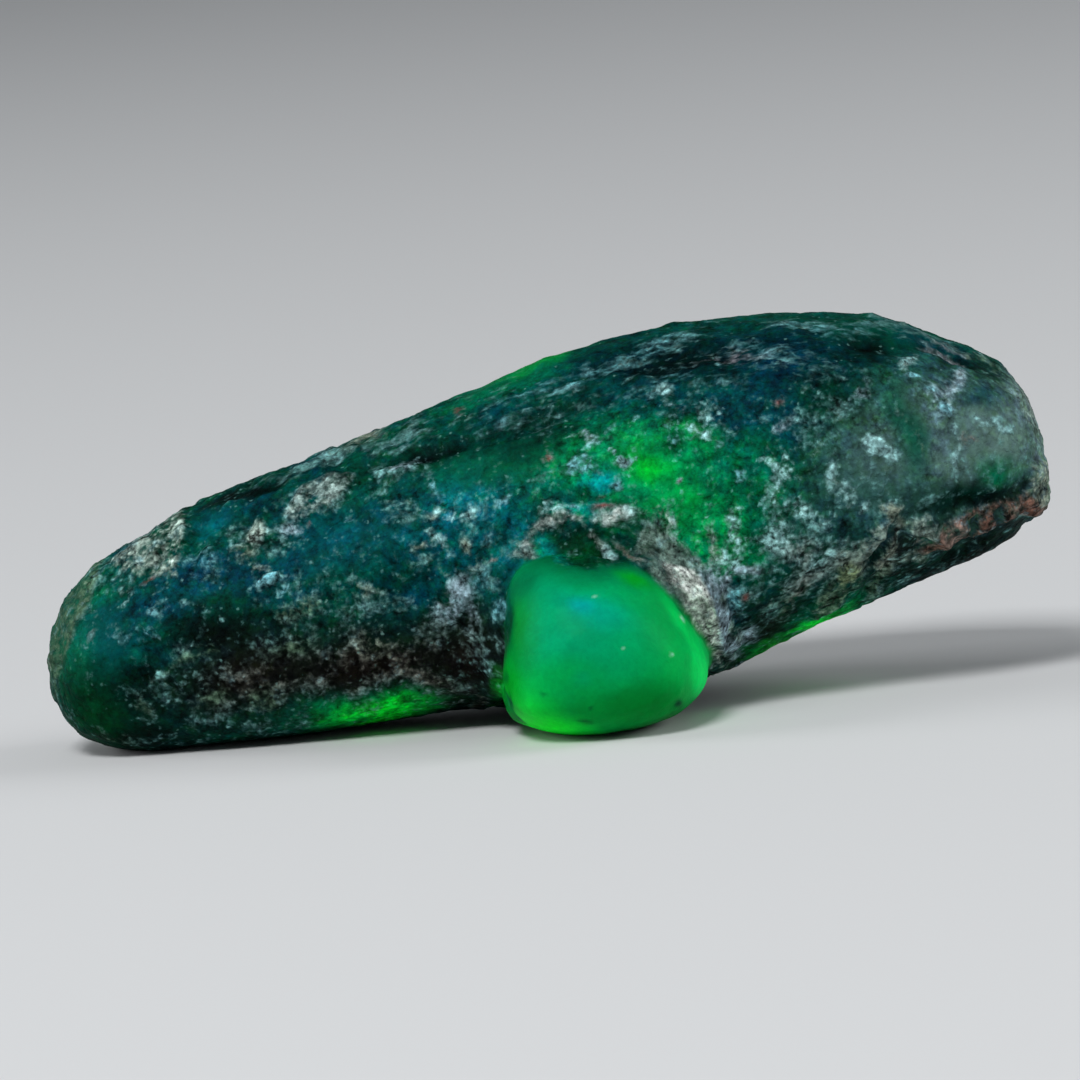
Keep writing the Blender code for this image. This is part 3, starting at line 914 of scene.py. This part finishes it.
# %% The short crystal's bare end
BARE_TONES = {
    "leaf": (0.0, 0.33, 0.065),
    "teal": (0.0, 0.33, 0.14),
    "sky_reflection": (0.0, 0.33, 0.3),
    "moss": (0.0, 0.27, 0.034),
    "lit": (0.0, 0.8, 0.125),
    "rim_glow": (0.004, 0.85, 0.028),
    "yellow": (0.0, 0.3, 0.01),
    "brow_shade": (0.0, 0.13, 0.048),
    "lime": (0.0, 0.33, 0.006),
    "edge": (0.0, 0.2, 0.02),
    "sea": (0.0, 0.245, 0.11),
    "glint_fleck": (0.45, 0.8, 0.7),
    "shade": (0.0, 0.21, 0.025),
    "deep_and_shade": (0.0, 0.05, 0.02),
}
BARE_STAINS = (
    (0.7, 3.0, 2.4, 1.9, 0, 1.0, "teal"),
    (-0.2, 4.0, 1.1, 0.7, 0, 0.7, "sea"),
    # painted reflection of the sky on the brow
    (1.2, 3.45, 1.1, 0.45, -20, 0.4, "sky_reflection"),
    (0.92, 3.6, 0.42, 0.26, -20, 0.9, "sky_reflection"),
    (0.85, 1.72, 0.3, 0.24, 0, 0.6, "sky_reflection"),
    (2.9, 3.6, 1.6, 0.8, -55, 0.38, "moss"),
    (1.3, 0.95, 2.2, 0.7, 0, 0.8, "moss"),
    (2.7, 1.1, 1.5, 0.8, 15, 0.9, "shade"),
    # painted light along the right rim
    (3.4, 2.0, 1.1, 0.45, -78, 0.18, "lit"),
    (3.98, 1.75, 1.5, 0.36, -78, 1.0, "lit"),
    (3.4, 3.1, 0.9, 0.2, -60, 0.5, "lit"),
    # painted glow along the lower rim, of light coming through the crystal
    (-0.4, 1.1, 0.9, 0.9, -20, 0.5, "rim_glow"),
    (0.4, 1.7, 1.3, 0.7, 0, 0.85, "leaf"),
    (0.05, 0.45, 1.45, 0.45, -8, 1.0, "rim_glow"),
    # painted shade down the left side and along the top
    (-0.85, 3.0, 0.7, 1.7, 0, 0.95, "edge"),
    (-0.98, 3.2, 1.6, 0.24, 88, 0.9, "deep_and_shade"),
    (-0.95, 1.5, 0.45, 1.0, 0, 0.9, "yellow"),
    (0.9, 4.58, 2.6, 0.55, -6, 0.9, "brow_shade"),
    (-0.6, 4.2, 0.8, 0.5, 45, 0.9, "brow_shade"),
    (0.8, 4.92, 2.6, 0.42, -5, 1.0, "deep_and_shade"),
    (2.2, 4.22, 0.6, 0.18, -20, 0.8, "lime"),
    # dark specks in the crystal
    (-0.96, 1.75, 0.2, 0.09, 80, 0.6, "deep_and_shade"),
    (-0.92, 1.25, 0.36, 0.1, -60, 0.85, "deep_and_shade"),
    (-0.6, 0.72, 0.25, 0.08, -40, 0.85, "deep_and_shade"),
    (3.3, 1.12, 0.14, 0.1, 45, 1.0, "deep_and_shade"),
    (1.15, 0.98, 0.07, 0.07, 0, 0.9, "deep_and_shade"),
    (1.0, 0.66, 0.24, 0.05, -8, 0.8, "deep_and_shade"),
    (-0.05, 1.42, 0.12, 0.05, -10, 0.6, "deep_and_shade"),
    # painted glints
    (1.28, 3.8, 0.05, 0.05, 0, 0.5, "glint_fleck"),
    (1.97, 2.52, 0.05, 0.05, 0, 0.35, "glint_fleck"),
    (3.15, 2.32, 0.05, 0.06, 0, 0.45, "glint_fleck"),
    (3.46, 3.26, 0.05, 0.12, 30, 0.6, "glint_fleck"),
)
print("bare end:", len(BARE_STAINS), "stains")

# %% [markdown]
# Some grains of the crust are whole plates with straight edges. Each is an outline of corners, how
# thick its grains lie, their tone, and how far it stands out.

# %% Plates
PLATES = (
    # the rim of the left end
    (
        ((-12.7, 1.0), (-12.6, 3.3), (-11.9, 4.5), (-11.2, 4.9), (-11.05, 4.3), (-11.34, 3.8))
        + ((-11.59, 3.2), (-11.86, 2.6), (-12.1, 1.98), (-12.25, 1.0)),
        1.05,
        "moss",
        0.02,
    ),
    # the pale plate beside it
    (((-10.9, 4.7), (-9.0, 6.4), (-8.98, 5.5), (-9.24, 4.2), (-10.56, 4.45)), 0.84, "pale", 0.03),
    (((-9.6, 4.9), (-9.1, 5.9), (-8.99, 5.5), (-9.2, 4.4)), 0.92, "pearl", 0.01),
    # single grains on the left shoulder
    (((-7.48, 5.15), (-7.4, 5.6), (-7.2, 5.76), (-6.98, 5.5), (-7.1, 5.12)), 1.2, "pearl", 0.03),
    (
        ((-7.26, 4.08), (-7.09, 4.3), (-6.69, 4.46), (-6.71, 4.3), (-6.89, 4.15), (-7.21, 4.02)),
        1.45,
        "blue",
        0.08,
    ),
    (
        ((-6.56, 5.9), (-6.04, 6.6), (-5.36, 6.93), (-4.71, 6.85), (-5.11, 6.33), (-5.76, 5.8))
        + ((-6.3, 5.66),),
        0.9,
        "frost",
        0.06,
    ),
    # the mica collar beside the short crystal
    (
        ((2.2, 4.95), (2.6, 4.4), (3.2, 3.6), (3.7, 2.8), (3.9, 2.2), (4.24, 1.8), (4.66, 2.2))
        + ((4.9, 2.8), (4.6, 3.58), (4.4, 4.2), (3.9, 4.75), (3.3, 5.3), (2.7, 5.7), (2.35, 5.4)),
        1.05,
        "ash",
        0.08,
    ),
    (
        ((2.8, 4.6), (3.4, 3.8), (3.95, 2.5), (4.3, 2.2), (4.4, 2.9), (4.0, 3.9), (3.6, 4.5)),
        1.22,
        "shell",
        0.04,
    ),
    (
        ((3.75, 4.5), (4.1, 3.4), (4.2, 2.6), (4.6, 2.3), (4.95, 2.7), (4.5, 3.05), (4.75, 3.4))
        + ((4.3, 3.8), (4.75, 4.25), (4.3, 4.6)),
        1.15,
        "lilac",
        0.05,
    ),
    # the right end: a white plate, the rusty ledge and two ridges
    (((7.8, 7.7), (8.15, 7.95), (8.7, 7.5), (8.76, 7.2), (8.2, 7.3)), 1.05, "white", 0.04),
    (
        ((9.25, 5.4), (9.9, 5.7), (10.6, 5.98), (11.2, 6.15), (11.8, 6.36), (12.4, 6.55))
        + ((12.4, 5.95), (11.9, 5.78), (11.3, 5.58), (10.7, 5.34), (10.0, 5.05), (9.3, 4.9)),
        1.1,
        "rust",
        0.06,
    ),
    (((9.9, 5.15), (9.85, 5.55), (10.2, 5.75), (10.55, 5.65), (10.4, 5.25)), 1.15, "pink", 0.08),
    (((9.2, 4.9), (9.2, 5.3), (9.55, 5.5), (9.7, 5.2)), 0.4, "brown", -0.09),
    (((10.6, 5.35), (10.5, 5.7), (10.7, 5.85), (10.8, 5.5)), 0.1, "brown", -0.13),
    (((11.3, 5.6), (11.15, 5.95), (11.35, 6.1), (11.45, 5.7)), 0.15, "brown", -0.12),
    (((11.6, 5.85), (11.55, 6.1), (11.8, 6.25), (11.9, 5.95)), 1.1, "pink", 0.06),
    (((12.1, 6.2), (12.1, 7.1), (12.6, 7.3), (12.6, 6.2)), 0.9, "tan", 0.02),
    # lumps and ridges to the left of the ledge
    (((9.1, 5.35), (9.2, 5.75), (9.6, 5.9), (9.9, 5.65), (9.7, 5.3)), 1.0, "pale", 0.1),
    (
        ((7.75, 4.75), (8.0, 4.7), (8.2, 5.1), (8.5, 5.3), (8.55, 5.7), (8.3, 5.6), (8.0, 5.3)),
        1.0,
        "pale",
        0.09,
    ),
    (((8.6, 5.6), (8.9, 5.75), (9.0, 6.0), (8.7, 6.15), (8.5, 5.9)), 0.92, "tan", 0.08),
    (((7.3, 4.2), (7.55, 4.15), (7.8, 4.5), (7.65, 4.75), (7.35, 4.55)), 1.1, "straw", 0.1),
    (((8.1, 4.6), (8.35, 4.5), (8.8, 5.1), (8.6, 5.3)), 1.05, "tan", 0.08),
    (
        ((7.2, 4.3), (7.6, 4.2), (7.26, 3.68), (6.76, 3.33), (6.6, 3.55), (7.0, 4.1)),
        1.0,
        "olive",
        0.12,
    ),
)
print("plates:", len(PLATES))

# %% [markdown]
# ## Painting the masks
# The lists become one number or one colour at each point. The plates are laid last, because their
# straight edges would be lost under the soft ovals.

# %% The painted masks
GROUND_CRUST = 0.30
CLOUDED_CRUST = 0.14
PLATE_EDGE = (-0.06, 0.05)
PLATE_BACK = (-1.0, 0.4)  # the depths between which the plates fade out


def all_over(tone):
    """The same colour at every point."""
    return np.tile(tone, (len(x), 1))


wide_cloud = cloud(skin_at, 2.4, 21)
hue_cloud = cloud(skin_at, 1.7, 22)
green, teal = (np.array(TONES[tone]) for tone in ("dark_green", "dark_teal"))
ground = green + np.clip(hue_cloud, 0, 1)[:, None] * 1.6 * (teal - green)
ground *= (1 + 0.5 * wide_cloud)[:, None]
body_tone = coloured(ground, STAINS, TONES)
bare_tone = coloured(all_over(BARE_TONES["leaf"]), BARE_STAINS, BARE_TONES, ragged=0.35)
# A grain's tone doesn't depend on how thick the grains lie, so each is painted at full strength.
grain_tone = coloured(
    all_over(GRAINS["grey"]), [(*shape, 1.0, tone) for *shape, _, tone in CRUST], GRAINS
)
crust = painted(GROUND_CRUST, [patch[:6] for patch in CRUST]) + CLOUDED_CRUST * wide_cloud

plate_relief = np.zeros(len(x))
on_plane = np.stack([0.6 * seen_x + 0.4 * ragged_x, 0.6 * seen_z + 0.4 * ragged_z], 1)
for corners, amount, tone, height in PLATES:
    cover = 1 - step(distance_outside(on_plane, corners), *PLATE_EDGE)
    cover *= 1 - step(y, *PLATE_BACK)
    crust += (amount - crust) * cover
    grain_tone += (np.array(GRAINS[tone]) - grain_tone) * cover[:, None]
    plate_relief += height * cover
masks = {
    "crust": crust,
    "streaked": painted(0.0, STREAKED, ragged=0.3),
    "bare": bare,
    "smooth": painted(0.0, SMOOTH),
}
for mask_name, values in masks.items():
    print(mask_name, "is", round(float(values.mean()), 2), "on average")

# %% [markdown]
# ## Relief
# The crust is a rough layer of tilted plates that stands a little proud of the green crystal. Where
# the short crystal leaves it there is a narrow groove. The top is drawn out in fine ridges along
# the crystal. A bump in the material could fake all this, but the stone's edge would stay smooth
# against the floor, so the points themselves are moved. Single ledges, bumps and hollows are
# painted like the colours, with a height in millimetres.

# %% Bumps and hollows
BUMPS = (
    (-8.72, 5.2, 0.7, 0.18, 82, -0.14),
    (-9.6, 4.75, 0.7, 0.1, 45, -0.1),
    (-8.4, 5.68, 0.45, 0.34, 0, -0.1),
    (-8.45, 4.75, 0.45, 0.42, 0, 0.08),
    (-7.22, 5.42, 0.3, 0.36, -15, 0.08),
    (-7.4, 4.9, 0.5, 0.2, 20, 0.08),
    (-6.94, 4.27, 0.38, 0.15, 33, 0.12),
    (-7.0, 3.95, 0.6, 0.16, 25, -0.08),
    (-5.95, 3.6, 0.45, 0.38, 0, 0.1),
    (-5.65, 6.3, 1.05, 0.48, 33, 0.1),
    (-5.1, 5.75, 0.9, 0.18, 30, -0.08),
    (-7.4, 6.45, 2.0, 0.2, 20, -0.1),
    (-5.6, 7.15, 1.2, 0.25, 20, 0.02),
    (-3.6, 6.9, 0.8, 0.22, 15, 0.08),
    (-2.9, 7.35, 1.4, 0.25, 15, -0.1),
    (-2.2, 3.9, 0.7, 0.6, 0, 0.12),
    (-3.25, 3.9, 0.5, 0.4, 0, -0.08),
    (-0.95, 2.2, 0.3, 1.5, 0, -0.12),
    (1.2, 5.05, 1.9, 0.28, -5, -0.16),
    (0.5, 6.4, 0.7, 0.35, 0, -0.1),
    (0.2, 5.6, 0.8, 0.25, 25, 0.08),
    (1.9, 5.75, 0.9, 0.28, -5, 0.12),
    (3.3, 4.8, 1.4, 0.32, -52, 0.14),
    (4.0, 3.6, 0.9, 0.35, -68, 0.12),
    (4.75, 3.6, 0.24, 0.4, 0, -0.08),
    (10.6, 4.75, 1.1, 0.3, 27, 0.06),
    (12.45, 6.7, 0.35, 0.5, 0, 0.14),
    (12.3, 6.05, 0.4, 0.28, 0, 0.17),
    (9.9, 5.35, 0.26, 0.16, 20, 0.14),
    (10.4, 5.55, 0.2, 0.16, 20, 0.08),
    (10.85, 5.72, 0.22, 0.16, 20, 0.14),
    (11.5, 5.9, 0.26, 0.16, 20, 0.14),
    (12.0, 6.15, 0.22, 0.16, 20, 0.05),
    (11.1, 6.25, 1.3, 0.16, 17, -0.16),
    (10.2, 6.15, 0.9, 0.18, 20, -0.12),
    (10.6, 5.2, 1.0, 0.12, 25, -0.1),
    (8.0, 4.72, 0.45, 0.09, 58, -0.16),
    (7.6, 4.1, 0.7, 0.18, 50, 0.1),
    (8.2, 4.15, 0.6, 0.15, 50, -0.1),
    (8.95, 5.25, 0.18, 0.16, 60, -0.14),
    (8.3, 7.6, 0.5, 0.3, 0, 0.08),
    (10.15, 7.5, 0.16, 0.7, 0, 0.07),
    (8.1, 10.0, 0.8, 0.25, -5, -0.12),
    (3.2, 9.7, 2.6, 0.3, 8, -0.12),
    (-0.2, 8.15, 2.2, 0.35, 17, -0.12),
    (10.2, 9.75, 1.3, 0.2, -20, -0.1),
    (9.5, 10.15, 1.4, 0.16, -22, 0.06),
)
bumps = plate_relief
for *shape, height in BUMPS:
    bumps += height * oval(*shape)
bumps *= (1 - bare) * (1 - 0.5 * drift)
print("bumps from", round(float(bumps.min()), 2), "to", round(float(bumps.max()), 2), "mm")

# %% [markdown]
# Noise of several sizes roughens the rest, much more on the crust than on clean crystal. All the
# heights are in millimetres. Near the table the relief fades out, so that the stone still lies on
# its worn feet.

# %% Relief


def leaning_plates(points, size, seed):
    """A broken layer: each cell of it has a height of its own and leans its own way."""
    heights = []
    for p in points:
        spot = Vector(p) / size + Vector((seed, seed, seed))
        centre = noise.voronoi(spot)[1][0]
        lean = noise.cell_vector(centre * 91.7)
        offset = spot - centre
        heights.append(offset.dot(lean) * 0.9 + lean.x)
    return np.array(heights)


# The ridges run along the top of the long crystal, so they are laid out by how far below it they
# are.
TOP_X = (-12.5, -11.5, -9.0, -5.0, -1.0, 2.5, 5.5, 8.5, 10.5, 11.6, 12.5)
TOP_Z = (2.0, 4.6, 6.0, 7.6, 9.4, 10.5, 10.9, 10.8, 10.1, 9.3, 7.6)
STREAK_STRETCH = (0.48, 0.8)  # how far x and y are shortened, so that streaks are longer there
CLEAR_OF_TABLE = (0.01, 0.30)  # the heights above the table between which the relief grows
GROOVE_DEPTH = 0.13
COLLAR_HEIGHT = 0.07


def ring(at, half_width):
    """1 on a line this far outside the short crystal, fading to 0 on both sides of it."""
    return np.exp(-(((outside - at) / half_width) ** 2))


below_top = z - np.interp(x, TOP_X, TOP_Z)
streak_at = np.stack([x * STREAK_STRETCH[0], y * STREAK_STRETCH[1], below_top], 1)
ridges = 1 - 2 * np.abs(cloud(streak_at, 0.55, 13))
lumps = cloud(skin_at, 0.9, 11)
small_lumps = cloud(skin_at, 0.42, 15)
grit = cloud(skin_at, 0.22, 12)
crusted = np.clip(crust, 0, 1) * (1 - bare)
on_crust = 0.07 * lumps + 0.05 * small_lumps + 0.035 * grit
on_crust += 0.05 * leaning_plates(skin_at, 0.6, 3)
on_clean = 0.02 * small_lumps + 0.012 * grit + 0.015 * leaning_plates(skin_at, 0.9, 5)

relief = 0.05 * cloud(skin_at, 2.2, 14) + bumps
relief += crusted * on_crust
relief += (1 - crusted) * (1 - bare) * on_clean
relief += masks["streaked"] * 0.05 * ridges

# The groove round the short crystal, and the mica collar that swells outside it.
groove = ring(0.10, 0.09) * (1 - step(-y, 4.1, 4.5)) * (y < 0)
collar = ring(0.42, 0.22) * step(-y, 2.5, 3.6) * (1 - step(-y, 4.3, 4.6))
relief += COLLAR_HEIGHT * collar - GROOVE_DEPTH * groove

relief *= step(skin_row[:, 2] / MM, *CLEAR_OF_TABLE)
skin_row += skin_normals * (relief * MM)[:, None]
skin_row[:, 2] = np.maximum(skin_row[:, 2], 0)
for vert, raised in zip(skin_bm.verts, skin_row):
    vert.co = raised
print("relief from", round(float(relief.min()), 2), "to", round(float(relief.max()), 2), "mm")

# %% [markdown]
# ## The stone's own piece
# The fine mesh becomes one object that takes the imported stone's place. The masks and tones ride on
# its points as attributes, which the finish reads. An image wrapped round the stone could hold
# them, but it would need seams, and points this close together are sharp enough. Two more
# attributes are places: one is drawn out along the top and one is wrapped round the short crystal's
# end, so that a pattern laid on them is streaked or fibrous.

# %% The stone's own piece
END_CENTRE = (1.3, 2.4)  # where the collar's fibres turn round
FIBRE_TURN = 0.65  # how many millimetres of a pattern go into one radian round the end

skin_mesh = bpy.data.meshes.new("emerald_skin")
skin_bm.to_mesh(skin_mesh)
skin_bm.free()
skin_mesh.shade_smooth()


def add_attribute(name, kind, values):
    """Adds one number, vector or colour for each point of the skin."""
    attribute = skin_mesh.attributes.new(name, kind, "POINT")
    field = {"FLOAT": "value", "FLOAT_VECTOR": "vector", "FLOAT_COLOR": "color"}[kind]
    attribute.data.foreach_set(field, values.astype(np.float32).ravel())


# The collar is fibrous beside the short crystal's end, most of all on its right.
masks["fibrous"] = step(-outside, -1.3, -0.5) * (1 - bare) * step(-y, 1.5, 2.5)
masks["fibrous"] *= 0.3 + 0.7 * step(x, 1.0, 2.5)
masks["fibrous"] *= 0.08 + 0.92 * step(z, 3.2, 4.0)
for mask_name, values in masks.items():
    add_attribute(mask_name, "FLOAT", values)
for tone_name, tone in (("body", body_tone), ("grain", grain_tone), ("bare", bare_tone)):
    opaque = np.concatenate([tone, np.ones((len(x), 1))], 1)
    add_attribute(f"{tone_name}_tone", "FLOAT_COLOR", opaque)
turn_round_end = np.arctan2(prism_z - END_CENTRE[1], x - END_CENTRE[0])
fibre_at = np.stack([turn_round_end * FIBRE_TURN, outside, y], 1)
add_attribute("fibre_place", "FLOAT_VECTOR", fibre_at * MM)
add_attribute("streak_place", "FLOAT_VECTOR", streak_at * MM)

emerald_skin = bpy.data.objects.new("emerald_skin", skin_mesh)
scene.collection.objects.link(emerald_skin)
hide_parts("emerald")
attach(emerald_skin, "root")
print("the skin carries:", ", ".join(masks), "and three tones")

# %% [markdown]
# ## The finish
# Close up, the skin is dark green crystal under torn flakes of mica, each with a shade of its own.
# An image of that would show a seam and blur close up, so noise and random cells make it instead,
# and the masks say where each may show. Every pattern is first bent by a fine noise, which tears
# its round edges.

# %% Where the patterns lie
SKIN = Finish("emerald_skin")
WOBBLE_WIDTH = 0.30
WOBBLE = 0.12  # how far places are bent, in millimetres
STREAK_SCALE = 0.95  # how large a pattern is on the streaks and fibres, as a share
FIBRE_SCALE = 0.6
FIBROUS_SHARE = 0.95

place = SKIN.node("ShaderNodeTexCoord", {}, {}, "Object")
mask = {name: SKIN.painted(name) for name in ("crust", "streaked", "bare", "fibrous", "smooth")}
wobble = SKIN.noise(place, WOBBLE_WIDTH, 2, "Color")
rough_place = SKIN.move(place, wobble, WOBBLE)
streak_place = SKIN.move(SKIN.painted("streak_place", "Vector"), wobble, WOBBLE)
fibre_place = SKIN.painted("fibre_place", "Vector")


def over_the_skin(pattern):
    """A pattern: drawn out along the top, wrapped round the collar and even elsewhere."""
    even = pattern(rough_place, 1.0)
    mixed = SKIN.blend(mask["streaked"], even, pattern(streak_place, STREAK_SCALE))
    return SKIN.blend(mask["fibrous"] * FIBROUS_SHARE, mixed, pattern(fibre_place, FIBRE_SCALE))


print("places and masks:", len(SKIN.tree.nodes), "nodes")

# %% The patterns
CLUSTER = 0.75  # all the sizes are in millimetres
GRAIN = 0.15
FIBRE = 0.09
LARGE_FLAKE = 0.32
SMALL_FLAKE = 0.13
MOTTLE = 0.45
VELVET = 0.10
HUE_PATCH = 0.30
TEAR_WIDTH = 0.07
TEAR_DEPTH = 0.09

clusters = over_the_skin(lambda where, scale: SKIN.noise(where, CLUSTER * scale, 5, 0, 0.66))
grains = over_the_skin(lambda where, scale: SKIN.noise(where, GRAIN * scale, 1.6))
fibres = SKIN.noise(fibre_place, FIBRE, 3, 0, 0.6)
torn_place = SKIN.move(rough_place, SKIN.noise(place, TEAR_WIDTH, 2, "Color"), TEAR_DEPTH)
large_cell, large_luck = SKIN.cells(torn_place, LARGE_FLAKE)
small_cell, small_luck = SKIN.cells(torn_place, SMALL_FLAKE)
mottle = SKIN.noise(place, MOTTLE, 7, 0, 0.70)
velvet = SKIN.noise(rough_place, VELVET, 2.5, 0, 0.6)
hues = SKIN.noise(place, HUE_PATCH, 4, "Color", 0.65)
print("with the patterns:", len(SKIN.tree.nodes), "nodes")

# %% [markdown]
# Frost is how much of the crust shows at a place: the painted thickness, plus the patterns, cut off
# softly. A mean taken off each pattern keeps the painted thickness true.

# %% The frost
FLAKE_MEAN = 0.42
CLUSTERS_COUNT = 2.7  # how much each pattern adds to the painted thickness or takes off it
GRAINS_COUNT = 1.1
STREAKS_COUNT = 0.7
FLAKES_COUNT = 0.40
THINNED = 0.50
FROST = (-0.20, 0.95)  # the thicknesses at which frost begins and is complete
FLAKE_SLOPE = (0.1, 0.8)  # between a flake's middle and its edge, as shares of its width
CRACK_SLOPE = (0.5, 0.95)

not_bare = 1 - mask["bare"]
flaky = (1 - large_cell.over(*FLAKE_SLOPE)) * large_luck * 1.1
flaky = flaky + (1 - small_cell.over(*FLAKE_SLOPE)) * small_luck - FLAKE_MEAN
cracked = large_cell.over(*CRACK_SLOPE) + small_cell.over(*CRACK_SLOPE) * 0.6
grainy = (grains - 0.5) * (1 - mask["fibrous"] * 0.55)
thickness = mask["crust"] + (clusters - 0.5) * CLUSTERS_COUNT - THINNED
thickness = thickness + grainy * (mask["streaked"] * STREAKS_COUNT + GRAINS_COUNT)
thickness = thickness + flaky * (1 - mask["streaked"] * 0.7) * FLAKES_COUNT
frost = thickness.over(*FROST) * not_bare
print("with the frost:", len(SKIN.tree.nodes), "nodes")

# %% [markdown]
# Each flake and fibre catches the light in its own way, so the same patterns paint light and shade
# into the colours, making them lighter and darker. Where the skin is worn smooth they do less.

# %% Light and dark
FLAKE_RELIEF = 0.7  # how strongly each pattern lightens and darkens
CRACK_DARK = 0.9
FIBRE_CONTRAST = 1.7
VELVET_CONTRAST = 3.2
GRAIN_CONTRAST = 1.2
MOTTLE_CONTRAST = 4.2
HUE_CONTRAST = 3.0
DARKEST_SKIN, DARKEST_BODY, DARKEST_GRAIN = 0.12, 0.10, 0.3

uneven = 1 - mask["smooth"] * 0.75
chunky = ((0.3 - cracked) * CRACK_DARK + flaky * FLAKE_RELIEF) * (1 - mask["fibrous"])
shade = chunky * (1 - mask["streaked"] * 0.6)
shade = shade + (fibres - 0.5) * mask["fibrous"] * FIBRE_CONTRAST
shade = shade + (velvet - 0.5) * VELVET_CONTRAST + grainy * GRAIN_CONTRAST
skin_light = (shade * (frost * 0.5 + 0.5) * uneven + 1.0).at_least(DARKEST_SKIN)
body_light = ((mottle - 0.5) * MOTTLE_CONTRAST * uneven + 1.0).at_least(DARKEST_BODY)
grain_light = ((SKIN.part(hues, 0) - 0.5) * HUE_CONTRAST + 1.0).at_least(DARKEST_GRAIN)
bare_light = (mottle - 0.5) * 0.65 + (velvet - 0.5) * 0.25 + 1.0
print("with the shades:", len(SKIN.tree.nodes), "nodes")

# %% [markdown]
# Neither the crystal nor its crust has one hue. Two of the hue noise's three numbers push the
# crystal towards blue or yellow green in small patches, and the grains towards sand or blue. The
# frost then says where the crystal shows and where the grains do.

# %% The skin's colour
BLUER = (1, 0.88, 1.25, 1)
GREENER = (1, 1.12, 0.75, 1)
BLUER_WHERE, GREENER_WHERE = (0.42, 0.62), (0.48, 0.66)
SANDY_FROM, BLUE_FROM = 0.57, 0.54
BRIGHTER = 1.1
SANDY_GRAIN = (0.165, 0.190, 0.165, 1)
BLUE_GRAIN = (0.16, 0.31, 0.34, 1)
GLINT = (0.20, 0.46, 0.42, 1)
GLINT_STRENGTH = 0.32
GLINT_LUCK, GLINT_MIDDLE = (0.90, 0.99), (0.08, 0.40)

body = SKIN.lit(SKIN.painted("body_tone", "Color"), body_light)
body = SKIN.blend(SKIN.part(hues, 2).over(*BLUER_WHERE) * uneven, body, BLUER, "MULTIPLY")
body = SKIN.blend(SKIN.part(hues, 1).over(*GREENER_WHERE) * uneven, body, GREENER, "MULTIPLY")
grain = SKIN.painted("grain_tone", "Color")
grain = SKIN.blend((SKIN.part(hues, 1) - SANDY_FROM) * HUE_CONTRAST, grain, SANDY_GRAIN)
grain = SKIN.blend((SKIN.part(hues, 2) - BLUE_FROM) * HUE_CONTRAST, grain, BLUE_GRAIN)
grain = SKIN.lit(grain, grain_light)
surface = SKIN.lit(SKIN.blend(frost, body, grain), skin_light * BRIGHTER)
# Painted glints: the luckiest of the small cells get a pale colour mixed in, as flakes that face the
# light would show.
glint = small_luck.over(*GLINT_LUCK) * (1 - small_cell.over(*GLINT_MIDDLE)) * not_bare
surface = SKIN.blend(glint * GLINT_STRENGTH * uneven, surface, GLINT)
print("with the colour:", len(SKIN.tree.nodes), "nodes")

# %% [markdown]
# Two shaders share the skin. The crust is rough and opaque. The bare end is satin and a little
# milky, so light sinks into it and it gets subsurface scattering. Nothing is seen through the
# stone, so neither needs transmission. The bare mask mixes the two.

# %% The two shaders
EMERALD_IOR = 1.58
SOFT_GLOSS = 0.015  # weathered skin has hardly any clear reflection
BUMP_HEIGHT = 0.05 * MM
SATIN_HEIGHT = 0.01 * MM
SATIN_ROUGHNESS = 0.48
MILKINESS = 0.5
LIGHT_SINKS = 0.6 * MM
GREEN_SINKS_DEEPEST = (0.2, 1.0, 0.5)

height = frost * 0.6 + velvet * 0.3 + mottle * 0.4 - cracked * 0.4
dents = SKIN.node(
    "ShaderNodeBump", {}, {"Height": height, "Distance": BUMP_HEIGHT, "Strength": 1.0}
)
satin = SKIN.node(
    "ShaderNodeBump", {}, {"Height": velvet + mottle, "Distance": SATIN_HEIGHT, "Strength": 1.0}
)
crusty = SKIN.node(
    "ShaderNodeBsdfPrincipled",
    {},
    {
        "Base Color": surface,
        "Roughness": velvet * 0.3 + 0.40,
        "IOR": EMERALD_IOR,
        "Specular IOR Level": SOFT_GLOSS,
        "Normal": dents,
    },
)
milky = SKIN.node(
    "ShaderNodeBsdfPrincipled",
    {},
    {
        "Base Color": SKIN.lit(SKIN.painted("bare_tone", "Color"), bare_light),
        "Roughness": SATIN_ROUGHNESS,
        "IOR": EMERALD_IOR,
        "Specular IOR Level": SOFT_GLOSS,
        "Subsurface Weight": MILKINESS,
        "Subsurface Radius": GREEN_SINKS_DEEPEST,
        "Subsurface Scale": LIGHT_SINKS,
        "Normal": satin,
    },
)
emerald_skin.data.materials.append(
    SKIN.show(SKIN.node("ShaderNodeMixShader", {}, {0: mask["bare"], 1: crusty, 2: milky}))
)
print("the whole finish:", len(SKIN.tree.nodes), "nodes")
